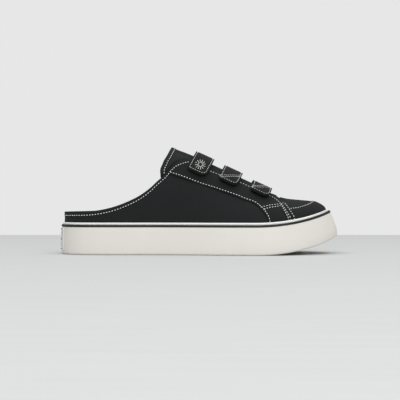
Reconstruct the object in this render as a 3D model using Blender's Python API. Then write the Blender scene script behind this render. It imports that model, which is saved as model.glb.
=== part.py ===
"""Sneaker mule with three hook-and-loop straps, a right shoe.

Lengths are in metres. X runs from the heel to the toe, the outer side of the foot is at -Y and the
inner side at +Y, and Z points up from the floor. The shoe is worked out with the back of its
sidewall at x = 0 and is moved at the end so that the origin is under the middle of its box.
"""
import math

import bmesh
import bpy
from mathutils import Vector

MM = 0.001

# Overall sizes
SHOE_LENGTH = 276.0 * MM
BALL_WIDTH = 100.0 * MM
HEEL_WIDTH = 73.0 * MM
TOE_SPRING = 17.0 * MM
INSTEP_RISE = 74.0 * MM
COLLAR_RISE = 61.9 * MM
CLEARANCE = 0.3 * MM

# Sole
SIDEWALL_HEIGHT = 31.3 * MM
SIDEWALL_TOP_THICKNESS = 1.6 * MM
SIDEWALL_THICKNESS = 2.4 * MM
SIDEWALL_BOTTOM_BEVEL = 1.2 * MM
STRAIGHT_WALL_HEIGHT = 5.0 * MM
WALL_LEAN_POWER = 1.3
UPPER_TUCK = 8.0 * MM
TOE_INSET = 9.0 * MM
SIDE_INSET = 4.2 * MM
HEEL_INSET = 2.7 * MM
STRIPE_HEIGHT = 2.2 * MM
STRIPE_THICKNESS = 1.2 * MM
STRIPE_BELOW_TOP = 2.1 * MM
STRIPE_PROUD = 0.5 * MM
INSOLE_THICKNESS = 4.5 * MM
INSOLE_CLEARANCE = 0.5 * MM
LABEL_WIDTH = 29.0 * MM
LABEL_BOTTOM = 4.0 * MM
LABEL_BELOW_STRIPE = 1.0 * MM
LABEL_THICKNESS = 0.6 * MM
LABEL_COLUMNS = 6
LABEL_ROWS = 4

# Upper and what lies on it
UPPER_WALL = 2.2 * MM
OVERLAY_THICKNESS = 1.2 * MM
THROAT_HALF_WIDTH_BACK = 16.0 * MM
THROAT_HALF_WIDTH_FRONT = 18.5 * MM
TONGUE_THICKNESS = 3.2 * MM
TONGUE_CLEARANCE = 1.2 * MM
TONGUE_BULGE = 4.9 * MM
TONGUE_BULGE_HALF_WIDTH = 14.0 * MM
TONGUE_BULGE_UNDERSIDE = 0.75

# Straps
STRAP_WIDTH = 19.8 * MM
STRAP_THICKNESS = 2.7 * MM
STRAP_SLOPE_DEG = 25.0
STRAP_SEAT_CLEARANCE = 0.5 * MM
STRAP_END_LIFT = 4.3 * MM
STRAP_INNER_REACH = 12.0 * MM
STRAP_BACK_CORNER = 2.5 * MM
STRAP_FRONT_CORNER = 6.0 * MM
HOOK_PAD_INSET = 2.0 * MM
HOOK_PAD_ROWS = (3, 6)

# Places along the shoe, as shares of its length
SPRING_START = 0.688
SPRING_POWER = 2.1
HEEL_SPINE_START = 0.127
HEEL_SPINE_BLEND = 0.254
TOE_SPINE_BLEND = 0.688
TOE_SPINE_END = 0.880
THROAT_BACK = 0.4565
THROAT_FRONT = 0.793
FACING_BACK = 0.384
FACING_DROP = 0.743
FACING_FRONT = 0.815
TOE_CAP_BACK = 0.835
TONGUE_FRONT = 0.835
BULGE_FADE_START = 0.735
BULGE_FADE_END = 0.770

# Mesh density
SIDE_STATIONS = 46
STATION_EVENING = 0.12
LOWER_ROWS = 3
UPPER_ROWS = 3
VAMP_ROWS = 3
TONGUE_STATIONS = 26
TONGUE_ROWS = 6
STRAP_ROWS = 7

# Plan of the sole: share of the length, outer and inner half width as shares of the local width
SOLE_PLAN = [
    (0.010, 0.192, 0.192),
    (0.040, 0.356, 0.356),
    (0.080, 0.452, 0.448),
    (0.130, 0.493, 0.490),
    (0.200, 0.502, 0.493),
    (0.300, 0.507, 0.466),
    (0.400, 0.487, 0.402),
    (0.500, 0.468, 0.362),
    (0.600, 0.485, 0.395),
    (0.680, 0.510, 0.455),
    (0.740, 0.508, 0.485),
    (0.800, 0.475, 0.492),
    (0.860, 0.405, 0.465),
    (0.910, 0.315, 0.405),
    (0.950, 0.210, 0.330),
    (0.980, 0.090, 0.250),
]
TOE_TIP_SHIFT = 0.080
WIDTH_BLEND_START = 0.30
WIDTH_BLEND_END = 0.60

# Ridge of the upper: share of the length, share of the instep rise above the sole core
RIDGE = [
    (0.000, 1.253),
    (0.145, 1.266),
    (0.272, 1.232),
    (0.344, 1.166),
    (0.399, 1.091),
    (0.464, 1.000),
    (0.565, 0.830),
    (0.663, 0.661),
    (0.743, 0.526),
    (0.793, 0.446),
    (0.808, 0.431),
    (0.826, 0.420),
    (0.862, 0.407),
    (0.880, 0.400),
]

# Line of the ridge in plan: share of the length, share of the ball width towards the inner side
RIDGE_PLAN = [
    (0.00, 0.000),
    (0.30, 0.020),
    (0.50, 0.050),
    (0.88, 0.085),
]

# Fullness of a rib: share of the length, at its foot, at its top
RIB_FULLNESS = [
    (0.00, 0.62, 0.60),
    (0.30, 0.60, 0.55),
    (0.55, 0.52, 0.52),
    (0.75, 0.52, 0.55),
    (0.88, 0.55, 0.55),
]

# Edge of the collar: share of the length, share of the collar rise above the sidewall
COLLAR = [
    (0.000, 0.168),
    (0.075, 0.173),
    (0.112, 0.179),
    (0.148, 0.199),
    (0.184, 0.234),
    (0.219, 0.284),
    (0.254, 0.349),
    (0.289, 0.431),
    (0.324, 0.546),
    (0.349, 0.653),
    (0.377, 0.763),
    (0.395, 0.864),
    (0.416, 0.952),
    (0.440, 0.990),
    (0.457, 1.000),
]

# Lower edge of the facing, then upper edge of the toe cap, in the same shares
OVERLAY_LINE = [
    (0.380, 0.800),
    (0.399, 0.776),
    (0.464, 0.691),
    (0.536, 0.578),
    (0.609, 0.468),
    (0.681, 0.352),
    (0.717, 0.265),
    (0.736, 0.215),
    (0.780, 0.222),
    (0.826, 0.242),
    (0.855, 0.250),
    (0.891, 0.294),
    (0.910, 0.330),
]
PLAIN_LINE_SHARE = 0.62
FACING_TIP_SHARE = 0.90

# Back rim of the tongue: share of the collar rise above the sidewall, share of the length
TONGUE_RIM = [
    (0.60, 0.3600),
    (0.76, 0.3590),
    (0.85, 0.3580),
    (0.93, 0.3652),
    (1.00, 0.3714),
    (1.05, 0.3783),
    (1.11, 0.3851),
    (1.17, 0.3917),
    (1.20, 0.3985),
]
TONGUE_SIDE_SHARE = 0.70

# Straps: name, place on the ridge as a share of the length, lift over the ridge, drop of the end
STRAPS = [
    ("top", 0.5096, 4.5 * MM, 18.2 * MM),
    ("middle", 0.6134, 3.8 * MM, 12.7 * MM),
    ("lower", 0.7203, 2.1 * MM, 8.2 * MM),
]
STRAP_COLUMNS = [0.00, 0.05, 0.13, 0.32, 0.68, 0.84, 0.95, 1.00]

# Materials: name, sRGB colour, roughness
MATERIALS = {
    "black_canvas": ((42, 45, 45), 0.92),
    "strap_webbing": ((46, 47, 47), 0.88),
    "hook_tape": ((18, 18, 19), 0.95),
    "sidewall_rubber": ((226, 223, 216), 0.55),
    "stripe_rubber": ((30, 31, 31), 0.50),
    "footbed_fabric": ((34, 35, 36), 0.95),
}

FEATHER_HEIGHT = SIDEWALL_HEIGHT - UPPER_TUCK
FULL_TURN = 2.0 * math.pi


# Curves through short tables
def curve(knots, values, at):
    """Value at a place on a smooth curve through the knots, straight past both ends."""
    last = len(knots) - 1
    if at <= knots[0]:
        low = 0
    elif at >= knots[last]:
        low = last - 1
    else:
        low = max(i for i in range(last) if knots[i] <= at)
    high = low + 1
    span = knots[high] - knots[low]
    chord = (values[high] - values[low]) / span
    slope_low = chord
    slope_high = chord
    if low > 0:
        slope_low = (values[high] - values[low - 1]) / (knots[high] - knots[low - 1])
    if high < last:
        slope_high = (values[high + 1] - values[low]) / (knots[high + 1] - knots[low])
    if at < knots[0]:
        return values[0] + chord * (at - knots[0])
    if at > knots[last]:
        return values[last] + chord * (at - knots[last])
    step = (at - knots[low]) / span
    pull_low = slope_low * span
    pull_high = slope_high * span
    rise = values[high] - values[low]
    bend = 3.0 * rise - 2.0 * pull_low - pull_high
    twist = pull_low + pull_high - 2.0 * rise
    return values[low] + step * (pull_low + step * (bend + step * twist))


def table_value(table, column, at):
    return curve([row[0] for row in table], [row[column] for row in table], at)


def smooth_step(start, end, at):
    share = min(1.0, max(0.0, (at - start) / (end - start)))
    return share * share * (3.0 - 2.0 * share)


def find_root(function, low, high):
    """Place where a rising function is zero, by halving."""
    for _ in range(34):
        middle = 0.5 * (low + high)
        if function(middle) < 0.0:
            low = middle
        else:
            high = middle
    return 0.5 * (low + high)


# Plan of the sole. A turn runs from 0 at the heel along the outer side to pi at the toe and back
# along the inner side to two pi.
def plan_angle(share):
    return math.acos(1.0 - 2.0 * share)


def plan_table():
    """Knots round the sole: the turn, and the half width with its sign, as a share."""
    outer = [(plan_angle(share), -width) for share, width, _ in SOLE_PLAN]
    inner = [(FULL_TURN - plan_angle(share), width) for share, _, width in reversed(SOLE_PLAN)]
    knots = [(0.0, 0.0)] + outer + [(math.pi, TOE_TIP_SHIFT)] + inner + [(FULL_TURN, 0.0)]
    before = (knots[-2][0] - FULL_TURN, knots[-2][1])
    after = (knots[1][0] + FULL_TURN, knots[1][1])
    return [before] + knots + [after]


PLAN_KNOTS = plan_table()


def length_share(turn):
    return 0.5 * (1.0 - math.cos(turn))


def local_width(share):
    blend = smooth_step(WIDTH_BLEND_START, WIDTH_BLEND_END, share)
    return HEEL_WIDTH + (BALL_WIDTH - HEEL_WIDTH) * blend


def outline(turn):
    turn = turn % FULL_TURN
    share = length_share(turn)
    side = table_value(PLAN_KNOTS, 1, turn)
    return Vector((share * SHOE_LENGTH, side * local_width(share), 0.0))


def outline_normal(turn):
    step = 0.01
    along = outline(turn + step) - outline(turn - step)
    return Vector((along.y, -along.x, 0.0)).normalized()


def feather(turn):
    """Foot of the upper in plan, drawn in from the outline of the sole."""
    normal = outline_normal(turn)
    inset = SIDE_INSET
    inset += (TOE_INSET - SIDE_INSET) * max(normal.x, 0.0) ** 3
    inset += (HEEL_INSET - SIDE_INSET) * max(-normal.x, 0.0) ** 2
    return outline(turn) - normal * inset


def spring_height(x):
    """Height of the underside of the sole over the floor."""
    start = SPRING_START * SHOE_LENGTH
    if x <= start:
        return 0.0
    return TOE_SPRING * ((x - start) / (SHOE_LENGTH - start)) ** SPRING_POWER


# Skin of the upper. Ribs run from the feather up to the ridge and fan out at heel and toe.
def spine_share(share):
    """Where the rib from a place on the outline meets the ridge."""
    if share < HEEL_SPINE_BLEND:
        power = HEEL_SPINE_BLEND / (HEEL_SPINE_BLEND - HEEL_SPINE_START)
        return HEEL_SPINE_START + (HEEL_SPINE_BLEND - HEEL_SPINE_START) * (
            share / HEEL_SPINE_BLEND) ** power
    if share > TOE_SPINE_BLEND:
        power = (1.0 - TOE_SPINE_BLEND) / (TOE_SPINE_END - TOE_SPINE_BLEND)
        left = (1.0 - share) / (1.0 - TOE_SPINE_BLEND)
        return TOE_SPINE_END - (TOE_SPINE_END - TOE_SPINE_BLEND) * left ** power
    return share


def ridge_point(share):
    return Vector((
        share * SHOE_LENGTH,
        table_value(RIDGE_PLAN, 1, share) * BALL_WIDTH,
        FEATHER_HEIGHT + table_value(RIDGE, 1, share) * INSTEP_RISE,
    ))


def skin(turn, climb):
    """Point of the outer skin: climb is 0 at the feather and 1 on the ridge."""
    share = spine_share(length_share(turn))
    foot = feather(turn)
    foot.z = FEATHER_HEIGHT + spring_height(foot.x)
    top = ridge_point(share)
    foot_fullness = table_value(RIB_FULLNESS, 1, share)
    top_fullness = table_value(RIB_FULLNESS, 2, share)
    rest = 1.0 - climb
    inward = 3.0 * rest * climb ** 2 * (1.0 - top_fullness) + climb ** 3
    upward = 3.0 * rest ** 2 * climb * foot_fullness + 3.0 * rest * climb ** 2 + climb ** 3
    place = foot.lerp(top, inward)
    place.z = foot.z + (top.z - foot.z) * upward
    return place


def one_side_normal(turn, climb):
    turn_step = 0.012
    climb_step = 0.012
    level = min(climb, 0.95)
    along = skin(turn + turn_step, level) - skin(turn - turn_step, level)
    lower = max(climb - climb_step, 0.0)
    upper = min(climb + climb_step, 1.0)
    over = skin(turn, upper) - skin(turn, lower)
    return along.cross(over).normalized()


def skin_normal(turn, climb):
    normal = one_side_normal(turn, climb)
    if climb > 0.999:
        normal = (normal + one_side_normal(FULL_TURN - turn, climb)).normalized()
    return normal


def over_skin(turn, climb, lift):
    return skin(turn, climb) + skin_normal(turn, climb) * lift


def climb_to_height(turn, height):
    """Climb at which the skin stands this high over the underside of the sole."""
    def above(climb):
        place = skin(turn, climb)
        return place.z - spring_height(place.x) - height
    return find_root(above, 0.0, 1.0)


def climb_to_line(turn, table):
    """Climb at which the skin meets a line given over the length."""
    def above(climb):
        place = skin(turn, climb)
        line = SIDEWALL_HEIGHT + COLLAR_RISE * table_value(table, 1, place.x / SHOE_LENGTH)
        return place.z - line
    return find_root(above, 0.0, 1.0)


def climb_to_throat(turn):
    """Climb at which the skin comes this near to the ridge in plan."""
    share = length_share(turn)
    blend = smooth_step(THROAT_BACK, THROAT_FRONT, share)
    half_width = THROAT_HALF_WIDTH_BACK
    half_width += (THROAT_HALF_WIDTH_FRONT - THROAT_HALF_WIDTH_BACK) * blend
    ridge_y = ridge_point(spine_share(share)).y

    def inside(climb):
        return half_width - abs(skin(turn, climb).y - ridge_y)
    return find_root(inside, 0.0, 1.0)


# Stations round the shoe
def side_angles():
    """Angles of the stations along one side, with one on the front of the throat."""
    angles = []
    for index in range(SIDE_STATIONS + 1):
        share = index / SIDE_STATIONS
        angles.append(math.pi * share + STATION_EVENING * math.sin(FULL_TURN * share))
    throat = find_root(lambda angle: spine_share(length_share(angle)) - THROAT_FRONT, 0.0, math.pi)
    nearest = min(range(len(angles)), key=lambda index: abs(angles[index] - throat))
    angles[nearest] = throat
    return angles, nearest


SIDE_ANGLES, THROAT_STATION = side_angles()
RING = 2 * SIDE_STATIONS


def station_turn(index):
    index = index % RING
    if index <= SIDE_STATIONS:
        return SIDE_ANGLES[index]
    return FULL_TURN - SIDE_ANGLES[RING - index]


def side_index(index):
    index = index % RING
    return min(index, RING - index)


def station_share(index):
    return length_share(station_turn(index))


def band_climbs(index):
    """Climbs of the four lines of a station: tuck line, overlay line, edge and ridge."""
    turn = station_turn(index)
    share = station_share(index)
    tuck = climb_to_height(turn, SIDEWALL_HEIGHT + CLEARANCE)
    line = climb_to_line(turn, OVERLAY_LINE)
    if share < THROAT_BACK:
        edge = climb_to_line(turn, COLLAR)
        plain = tuck + (edge - tuck) * PLAIN_LINE_SHARE
        tip = tuck + (edge - tuck) * FACING_TIP_SHARE
        blend = smooth_step(FACING_BACK - 0.05, FACING_BACK, share)
        line = plain + (min(line, tip) - plain) * blend
    else:
        edge = climb_to_throat(turn)
    return tuck, line, edge, 1.0


def front_edge_share():
    """How far up from the overlay line to the ridge the throat's corner lies."""
    _, line, edge, ridge = band_climbs(THROAT_STATION)
    return (edge - line) / (ridge - line)


FRONT_EDGE_SHARE = front_edge_share()
TUCK_ROW = 1
LINE_ROW = TUCK_ROW + LOWER_ROWS
EDGE_ROW = LINE_ROW + UPPER_ROWS
RIDGE_ROW = EDGE_ROW + VAMP_ROWS


def row_climbs(index):
    """Climb of each row of a station, from the feather to the ridge."""
    tuck, line, edge, ridge = band_climbs(index)
    if side_index(index) > THROAT_STATION:
        edge = line + (ridge - line) * FRONT_EDGE_SHARE
    climbs = [0.0, tuck]
    for start, end, rows in ((tuck, line, LOWER_ROWS), (line, edge, UPPER_ROWS),
                             (edge, ridge, VAMP_ROWS)):
        climbs += [start + (end - start) * (row + 1) / rows for row in range(rows)]
    return climbs


CLIMBS = [row_climbs(index) for index in range(RING)]


def row_key(index, row):
    """Name of a grid point, shared by both sides on the ridge."""
    if row == RIDGE_ROW:
        return ("ridge", side_index(index))
    return (index % RING, row)


def grid_point(key, lift):
    if key[0] == "ridge":
        return over_skin(station_turn(key[1]), 1.0, lift)
    return over_skin(station_turn(key[0]), CLIMBS[key[0]][key[1]], lift)


def cell(index, row):
    return (row_key(index, row), row_key(index + 1, row),
            row_key(index + 1, row + 1), row_key(index, row + 1))


# Building solids
def material(name):
    colour, roughness = MATERIALS[name]
    made = bpy.data.materials.get(name)
    if made is None:
        made = bpy.data.materials.new(name)
        made.use_nodes = True
        shader = made.node_tree.nodes["Principled BSDF"]
        linear = [((part / 255.0 + 0.055) / 1.055) ** 2.4 for part in colour]
        shader.inputs["Base Color"].default_value = (*linear, 1.0)
        shader.inputs["Roughness"].default_value = roughness
        shader.inputs["Metallic"].default_value = 0.0
    return made


def add_solid(name, points, faces, finish):
    """Object from points and faces, with grid points that fall together merged."""
    shape = bmesh.new()
    corners = [shape.verts.new(point) for point in points]
    for face in faces:
        shape.faces.new([corners[index] for index in face])
    bmesh.ops.remove_doubles(shape, verts=shape.verts, dist=0.1 * MM)
    bmesh.ops.triangulate(shape, faces=shape.faces)
    mesh = bpy.data.meshes.new(name)
    shape.to_mesh(mesh)
    shape.free()
    mesh.shade_smooth()
    mesh.set_sharp_from_angle(angle=math.radians(40.0))
    mesh.materials.append(material(finish))
    made = bpy.data.objects.new(name, mesh)
    bpy.context.scene.collection.objects.link(made)
    return made


def thick_patch(name, cells, outer, inner, finish):
    """Closed solid between an outer and an inner point of every grid key."""
    keys = []
    for corners in cells:
        for key in corners:
            if key not in keys:
                keys.append(key)
    place = {key: number for number, key in enumerate(keys)}
    count = len(keys)
    points = [outer(key) for key in keys] + [inner(key) for key in keys]
    faces = []
    edges = set()
    for corners in cells:
        numbers = [place[key] for key in corners]
        loop = [n for i, n in enumerate(numbers) if n != numbers[i - 1]]
        faces.append(loop)
        faces.append([count + n for n in reversed(loop)])
        for i, number in enumerate(loop):
            edges.add((loop[i - 1], number))
    for start, end in edges:
        if (end, start) not in edges:
            faces.append([end, start, count + start, count + end])
    return add_solid(name, points, faces, finish)


def closed_ring(name, profiles, finish):
    """Solid swept round the shoe through one closed profile for each station."""
    size = len(profiles[0])
    points = [point for profile in profiles for point in profile]
    faces = []
    for index in range(RING):
        here = index * size
        there = ((index + 1) % RING) * size
        for spot in range(size):
            after = (spot + 1) % size
            faces.append([here + spot, there + spot, there + after, here + after])
    return add_solid(name, points, faces, finish)


def slab(name, layers, finish):
    """Solid between flat caps, from closed loops of stations listed bottom to top."""
    points = [point for layer in layers for point in layer]
    faces = []
    for level in range(len(layers) - 1):
        for index in range(RING):
            after = (index + 1) % RING
            low = level * RING
            high = low + RING
            faces.append([low + index, low + after, high + after, high + index])
    top = (len(layers) - 1) * RING
    for index in range(SIDE_STATIONS):
        outer_now = index
        outer_next = index + 1
        inner_now = (RING - index) % RING
        inner_next = RING - index - 1
        loop = [outer_now, outer_next, inner_next, inner_now]
        loop = [n for i, n in enumerate(loop) if n != loop[i - 1]]
        faces.append([top + n for n in loop])
        faces.append(list(reversed(loop)))
    return add_solid(name, points, faces, finish)


# Sole
def sole_point(plan, height):
    return Vector((plan.x, plan.y, spring_height(plan.x) + height))


def skin_plan(turn, height, lift):
    """Point level with the skin at a height over the underside, moved out level."""
    place = skin(turn, climb_to_height(turn, height))
    return place + outline_normal(turn) * lift


def sidewall_face(turn, height):
    """Outer face of the sidewall, from the full outline to its edge on the upper."""
    top_height = SIDEWALL_HEIGHT - STRIPE_BELOW_TOP
    lean = max(0.0, height - STRAIGHT_WALL_HEIGHT) / (top_height - STRAIGHT_WALL_HEIGHT)
    top = skin_plan(turn, top_height, SIDEWALL_THICKNESS)
    base = outline(turn)
    lean = lean ** WALL_LEAN_POWER
    return sole_point(base + (top - base) * lean, height)


def build_outsole():
    bottom = []
    top = []
    for index in range(RING):
        edge = feather(station_turn(index))
        bottom.append(sole_point(edge, 0.0))
        top.append(sole_point(edge, FEATHER_HEIGHT - CLEARANCE))
    return slab("outsole", [bottom, top], "sidewall_rubber")


def stripe_heights():
    high = SIDEWALL_HEIGHT - STRIPE_BELOW_TOP
    return high - STRIPE_HEIGHT, high


def groove_depth():
    return STRIPE_THICKNESS + CLEARANCE - STRIPE_PROUD


def build_sidewall():
    low, high = stripe_heights()
    profiles = []
    for index in range(RING):
        turn = station_turn(index)
        normal = outline_normal(turn)
        inner = feather(turn) + normal * CLEARANCE
        bevel = outline(turn) - normal * SIDEWALL_BOTTOM_BEVEL
        floor_of_groove = -normal * groove_depth()
        rim = skin_plan(turn, SIDEWALL_HEIGHT, SIDEWALL_TOP_THICKNESS)
        profile = [sole_point(inner, 0.0), sole_point(bevel, 0.0)]
        for height in (SIDEWALL_BOTTOM_BEVEL, STRAIGHT_WALL_HEIGHT, 0.5 * SIDEWALL_HEIGHT,
                       0.7 * SIDEWALL_HEIGHT, low - CLEARANCE):
            profile.append(sidewall_face(turn, height))
        profile.append(sidewall_face(turn, low - CLEARANCE) + floor_of_groove)
        profile.append(sidewall_face(turn, high + CLEARANCE) + floor_of_groove)
        profile.append(sole_point(rim, SIDEWALL_HEIGHT))
        profile.append(sole_point(skin_plan(turn, SIDEWALL_HEIGHT, CLEARANCE), SIDEWALL_HEIGHT))
        middle = FEATHER_HEIGHT + 0.5 * UPPER_TUCK
        profile.append(sole_point(skin_plan(turn, middle, CLEARANCE), middle))
        profile.append(sole_point(inner, FEATHER_HEIGHT))
        profiles.append(profile)
    return closed_ring("sidewall", profiles, "sidewall_rubber")


def build_stripe():
    low, high = stripe_heights()
    profiles = []
    for index in range(RING):
        turn = station_turn(index)
        normal = outline_normal(turn)
        inner = -normal * (STRIPE_THICKNESS - STRIPE_PROUD)
        outer = normal * STRIPE_PROUD
        foot = sidewall_face(turn, low)
        head = sidewall_face(turn, high)
        profiles.append([foot + inner, foot + outer, head + outer, head + inner])
    return closed_ring("sidewall_stripe", profiles, "stripe_rubber")


def build_label():
    corner = find_root(lambda turn: abs(outline(turn).y) - 0.5 * LABEL_WIDTH, 0.0, 0.25 * math.pi)
    top = stripe_heights()[0] - LABEL_BELOW_STRIPE
    cells = []
    for column in range(LABEL_COLUMNS):
        for row in range(LABEL_ROWS):
            cells.append(((column, row), (column + 1, row),
                          (column + 1, row + 1), (column, row + 1)))

    def label_point(key, lift):
        turn = corner * (2.0 * key[0] / LABEL_COLUMNS - 1.0)
        height = LABEL_BOTTOM + (top - LABEL_BOTTOM) * key[1] / LABEL_ROWS
        return sidewall_face(turn, height) + outline_normal(turn) * lift

    return thick_patch(
        "heel_label", cells,
        lambda key: label_point(key, CLEARANCE + LABEL_THICKNESS),
        lambda key: label_point(key, CLEARANCE), "sidewall_rubber")


def build_insole():
    lift = -(UPPER_WALL + INSOLE_CLEARANCE)
    top_height = FEATHER_HEIGHT + INSOLE_THICKNESS
    bottom = []
    top = []
    for index in range(RING):
        turn = station_turn(index)
        edge = skin_plan(turn, top_height, lift)
        bottom.append(sole_point(edge, FEATHER_HEIGHT))
        top.append(sole_point(edge, top_height))
    return slab("insole", [bottom, top], "footbed_fabric")


# Upper and overlays
def lifted(lift):
    return lambda key: grid_point(key, lift)


def build_upper():
    cells = []
    for index in range(RING):
        past_throat = min(side_index(index), side_index(index + 1)) >= THROAT_STATION
        rows = RIDGE_ROW if past_throat else EDGE_ROW
        cells += [cell(index, row) for row in range(rows)]
    return thick_patch("upper", cells, lifted(0.0), lifted(-UPPER_WALL), "black_canvas")


def side_cells(stations, inner_side):
    """Cells of one side from pairs of a station and its rows."""
    cells = []
    for station, rows in stations:
        index = RING - station - 1 if inner_side else station
        cells += [cell(index, row) for row in rows]
    return cells


def station_at(share):
    """Station of one side that is nearest to a share of the length."""
    return min(range(SIDE_STATIONS + 1), key=lambda index: abs(station_share(index) - share))


def build_eyestay(side, inner_side):
    back = station_at(FACING_BACK)
    drop = station_at(FACING_DROP)
    front = station_at(FACING_FRONT)
    stations = []
    for station in range(back, front):
        first = TUCK_ROW if station >= drop else LINE_ROW
        last = LINE_ROW if station >= THROAT_STATION else EDGE_ROW
        stations.append((station, range(first, last)))
    cells = side_cells(stations, inner_side)
    return thick_patch("eyestay_" + side, cells, lifted(CLEARANCE + OVERLAY_THICKNESS),
                       lifted(CLEARANCE), "black_canvas")


def build_toe_cap():
    back = station_at(TOE_CAP_BACK)
    stations = [(station, range(TUCK_ROW, LINE_ROW)) for station in range(back, SIDE_STATIONS)]
    cells = side_cells(stations, False) + side_cells(stations, True)
    return thick_patch("toe_cap", cells, lifted(CLEARANCE + OVERLAY_THICKNESS),
                       lifted(CLEARANCE), "black_canvas")


# Tongue
def turn_of(share, inner_side):
    angle = plan_angle(share)
    return FULL_TURN - angle if inner_side else angle


def spine_angle(share):
    """Angle of the rib that meets the ridge at a share of the length."""
    return find_root(lambda angle: spine_share(length_share(angle)) - share, 0.0, math.pi)


def tongue_side_climb(angle, inner_side):
    turn = FULL_TURN - angle if inner_side else angle
    if length_share(angle) < THROAT_BACK:
        return climb_to_line(turn, COLLAR) * TONGUE_SIDE_SHARE
    return climb_to_throat(turn) * TONGUE_SIDE_SHARE


def tongue_rim_share(climb, inner_side):
    """Share of the length where the back rim lies at this climb."""
    share = TONGUE_RIM[-1][1]
    for _ in range(6):
        place = skin(turn_of(share, inner_side), climb)
        rise = (place.z - SIDEWALL_HEIGHT) / COLLAR_RISE
        share = min(TONGUE_RIM[-1][1], table_value(TONGUE_RIM, 1, rise))
    return share


def tongue_lift(place, outer):
    """Lift of a face of the tongue, which swells between the edges of the throat."""
    off_ridge = abs(place.y - ridge_point(place.x / SHOE_LENGTH).y)
    swell = math.cos(0.5 * math.pi * min(1.0, off_ridge / TONGUE_BULGE_HALF_WIDTH)) ** 2
    swell *= 1.0 - smooth_step(BULGE_FADE_START, BULGE_FADE_END, place.x / SHOE_LENGTH)
    base = -(UPPER_WALL + TONGUE_CLEARANCE)
    if outer:
        return base + TONGUE_BULGE * swell
    return base - TONGUE_THICKNESS + TONGUE_BULGE * TONGUE_BULGE_UNDERSIDE * swell


def build_tongue():
    side_climb = {}
    for inner_side in (False, True):
        side_climb[inner_side] = tongue_side_climb(spine_angle(THROAT_BACK), inner_side)
    cells = []
    for station in range(TONGUE_STATIONS):
        for row in range(-TONGUE_ROWS, TONGUE_ROWS):
            cells.append(((station, row), (station, row + 1),
                          (station + 1, row + 1), (station + 1, row)))

    def tongue_spot(key):
        station, row = key
        inner_side = row < 0
        across = 1.0 - abs(row) / TONGUE_ROWS
        low = side_climb[inner_side]
        climb = low + (1.0 - low) * across ** 0.85
        rim = tongue_rim_share(climb, inner_side)
        share = rim + (TONGUE_FRONT - rim) * station / TONGUE_STATIONS
        angle = spine_angle(share)
        turn = FULL_TURN - angle if inner_side else angle
        return turn, climb

    spots = {}
    for corners in cells:
        for key in corners:
            if key not in spots:
                spots[key] = tongue_spot(key)

    def face_point(key, outer):
        turn, climb = spots[key]
        return over_skin(turn, climb, tongue_lift(skin(turn, climb), outer))

    return thick_patch("tongue", cells, lambda key: face_point(key, True),
                       lambda key: face_point(key, False), "black_canvas")


# Straps
class StrapPath:
    """A strap over the ridge, cut by planes square to the slope of the instep."""

    def __init__(self, share, ridge_lift, end_drop):
        slope = math.radians(STRAP_SLOPE_DEG)
        self.centre = ridge_point(share)
        self.along = Vector((math.cos(slope), 0.0, -math.sin(slope)))
        self.down = Vector((-math.sin(slope), 0.0, -math.cos(slope)))
        self.ridge_lift = ridge_lift
        self.end_drop = end_drop - ridge_lift - STRAP_THICKNESS
        self.end_climb = {}
        for column in STRAP_COLUMNS:
            for inner_side in (False, True):
                self.end_climb[(column, inner_side)] = self.find_end(column, inner_side)

    def turn_at(self, across, climb, inner_side):
        """Turn where the skin at this climb lies this far along the slope."""
        def beyond(angle):
            turn = FULL_TURN - angle if inner_side else angle
            return (skin(turn, climb) - self.centre).dot(self.along) - across
        angle = find_root(beyond, 0.2 * math.pi, 0.95 * math.pi)
        return FULL_TURN - angle if inner_side else angle

    def corner_cut(self, column):
        """How much shorter the rounded end is at this column."""
        from_back = column * STRAP_WIDTH
        from_front = STRAP_WIDTH - from_back
        cut = 0.0
        for distance, radius in ((from_back, STRAP_BACK_CORNER), (from_front, STRAP_FRONT_CORNER)):
            if distance < radius:
                cut += radius - math.sqrt(radius ** 2 - (radius - distance) ** 2)
        return cut

    def find_end(self, column, inner_side):
        across = (column - 0.5) * STRAP_WIDTH
        reach = STRAP_INNER_REACH if inner_side else self.end_drop
        drop = reach - self.corner_cut(column)
        lift = STRAP_THICKNESS + self.end_lift(inner_side)

        def short_of_end(climb):
            turn = self.turn_at(across, climb, inner_side)
            return drop - (over_skin(turn, climb, lift) - self.centre).dot(self.down)
        return find_root(short_of_end, 0.2, 0.999)

    def end_lift(self, inner_side):
        if inner_side:
            return CLEARANCE + OVERLAY_THICKNESS + STRAP_SEAT_CLEARANCE
        return STRAP_END_LIFT

    def point(self, column, share, inner_side, lift_from, lift_by):
        """Point on the strap: share is 0 at the ridge and 1 at the end of this side."""
        across = (column - 0.5) * STRAP_WIDTH
        climb = 1.0 + (self.end_climb[(column, inner_side)] - 1.0) * share
        turn = self.turn_at(across, climb, inner_side)
        if lift_from is None:
            ease = smooth_step(0.0, 1.0, share)
            lift_from = self.ridge_lift + (self.end_lift(inner_side) - self.ridge_lift) * ease
        return over_skin(turn, climb, lift_from + lift_by)


def strap_cells(rows_low, rows_high):
    cells = []
    for column in range(len(STRAP_COLUMNS) - 1):
        for row in range(rows_low, rows_high):
            cells.append(((column, row), (column, row + 1),
                          (column + 1, row + 1), (column + 1, row)))
    return cells


def build_strap(name, path):
    def strap_point(key, lift_by):
        column, row = key
        return path.point(STRAP_COLUMNS[column], abs(row) / STRAP_ROWS, row < 0, None, lift_by)

    return thick_patch("strap_" + name, strap_cells(-STRAP_ROWS, STRAP_ROWS),
                       lambda key: strap_point(key, STRAP_THICKNESS),
                       lambda key: strap_point(key, 0.0), "strap_webbing")


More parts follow.
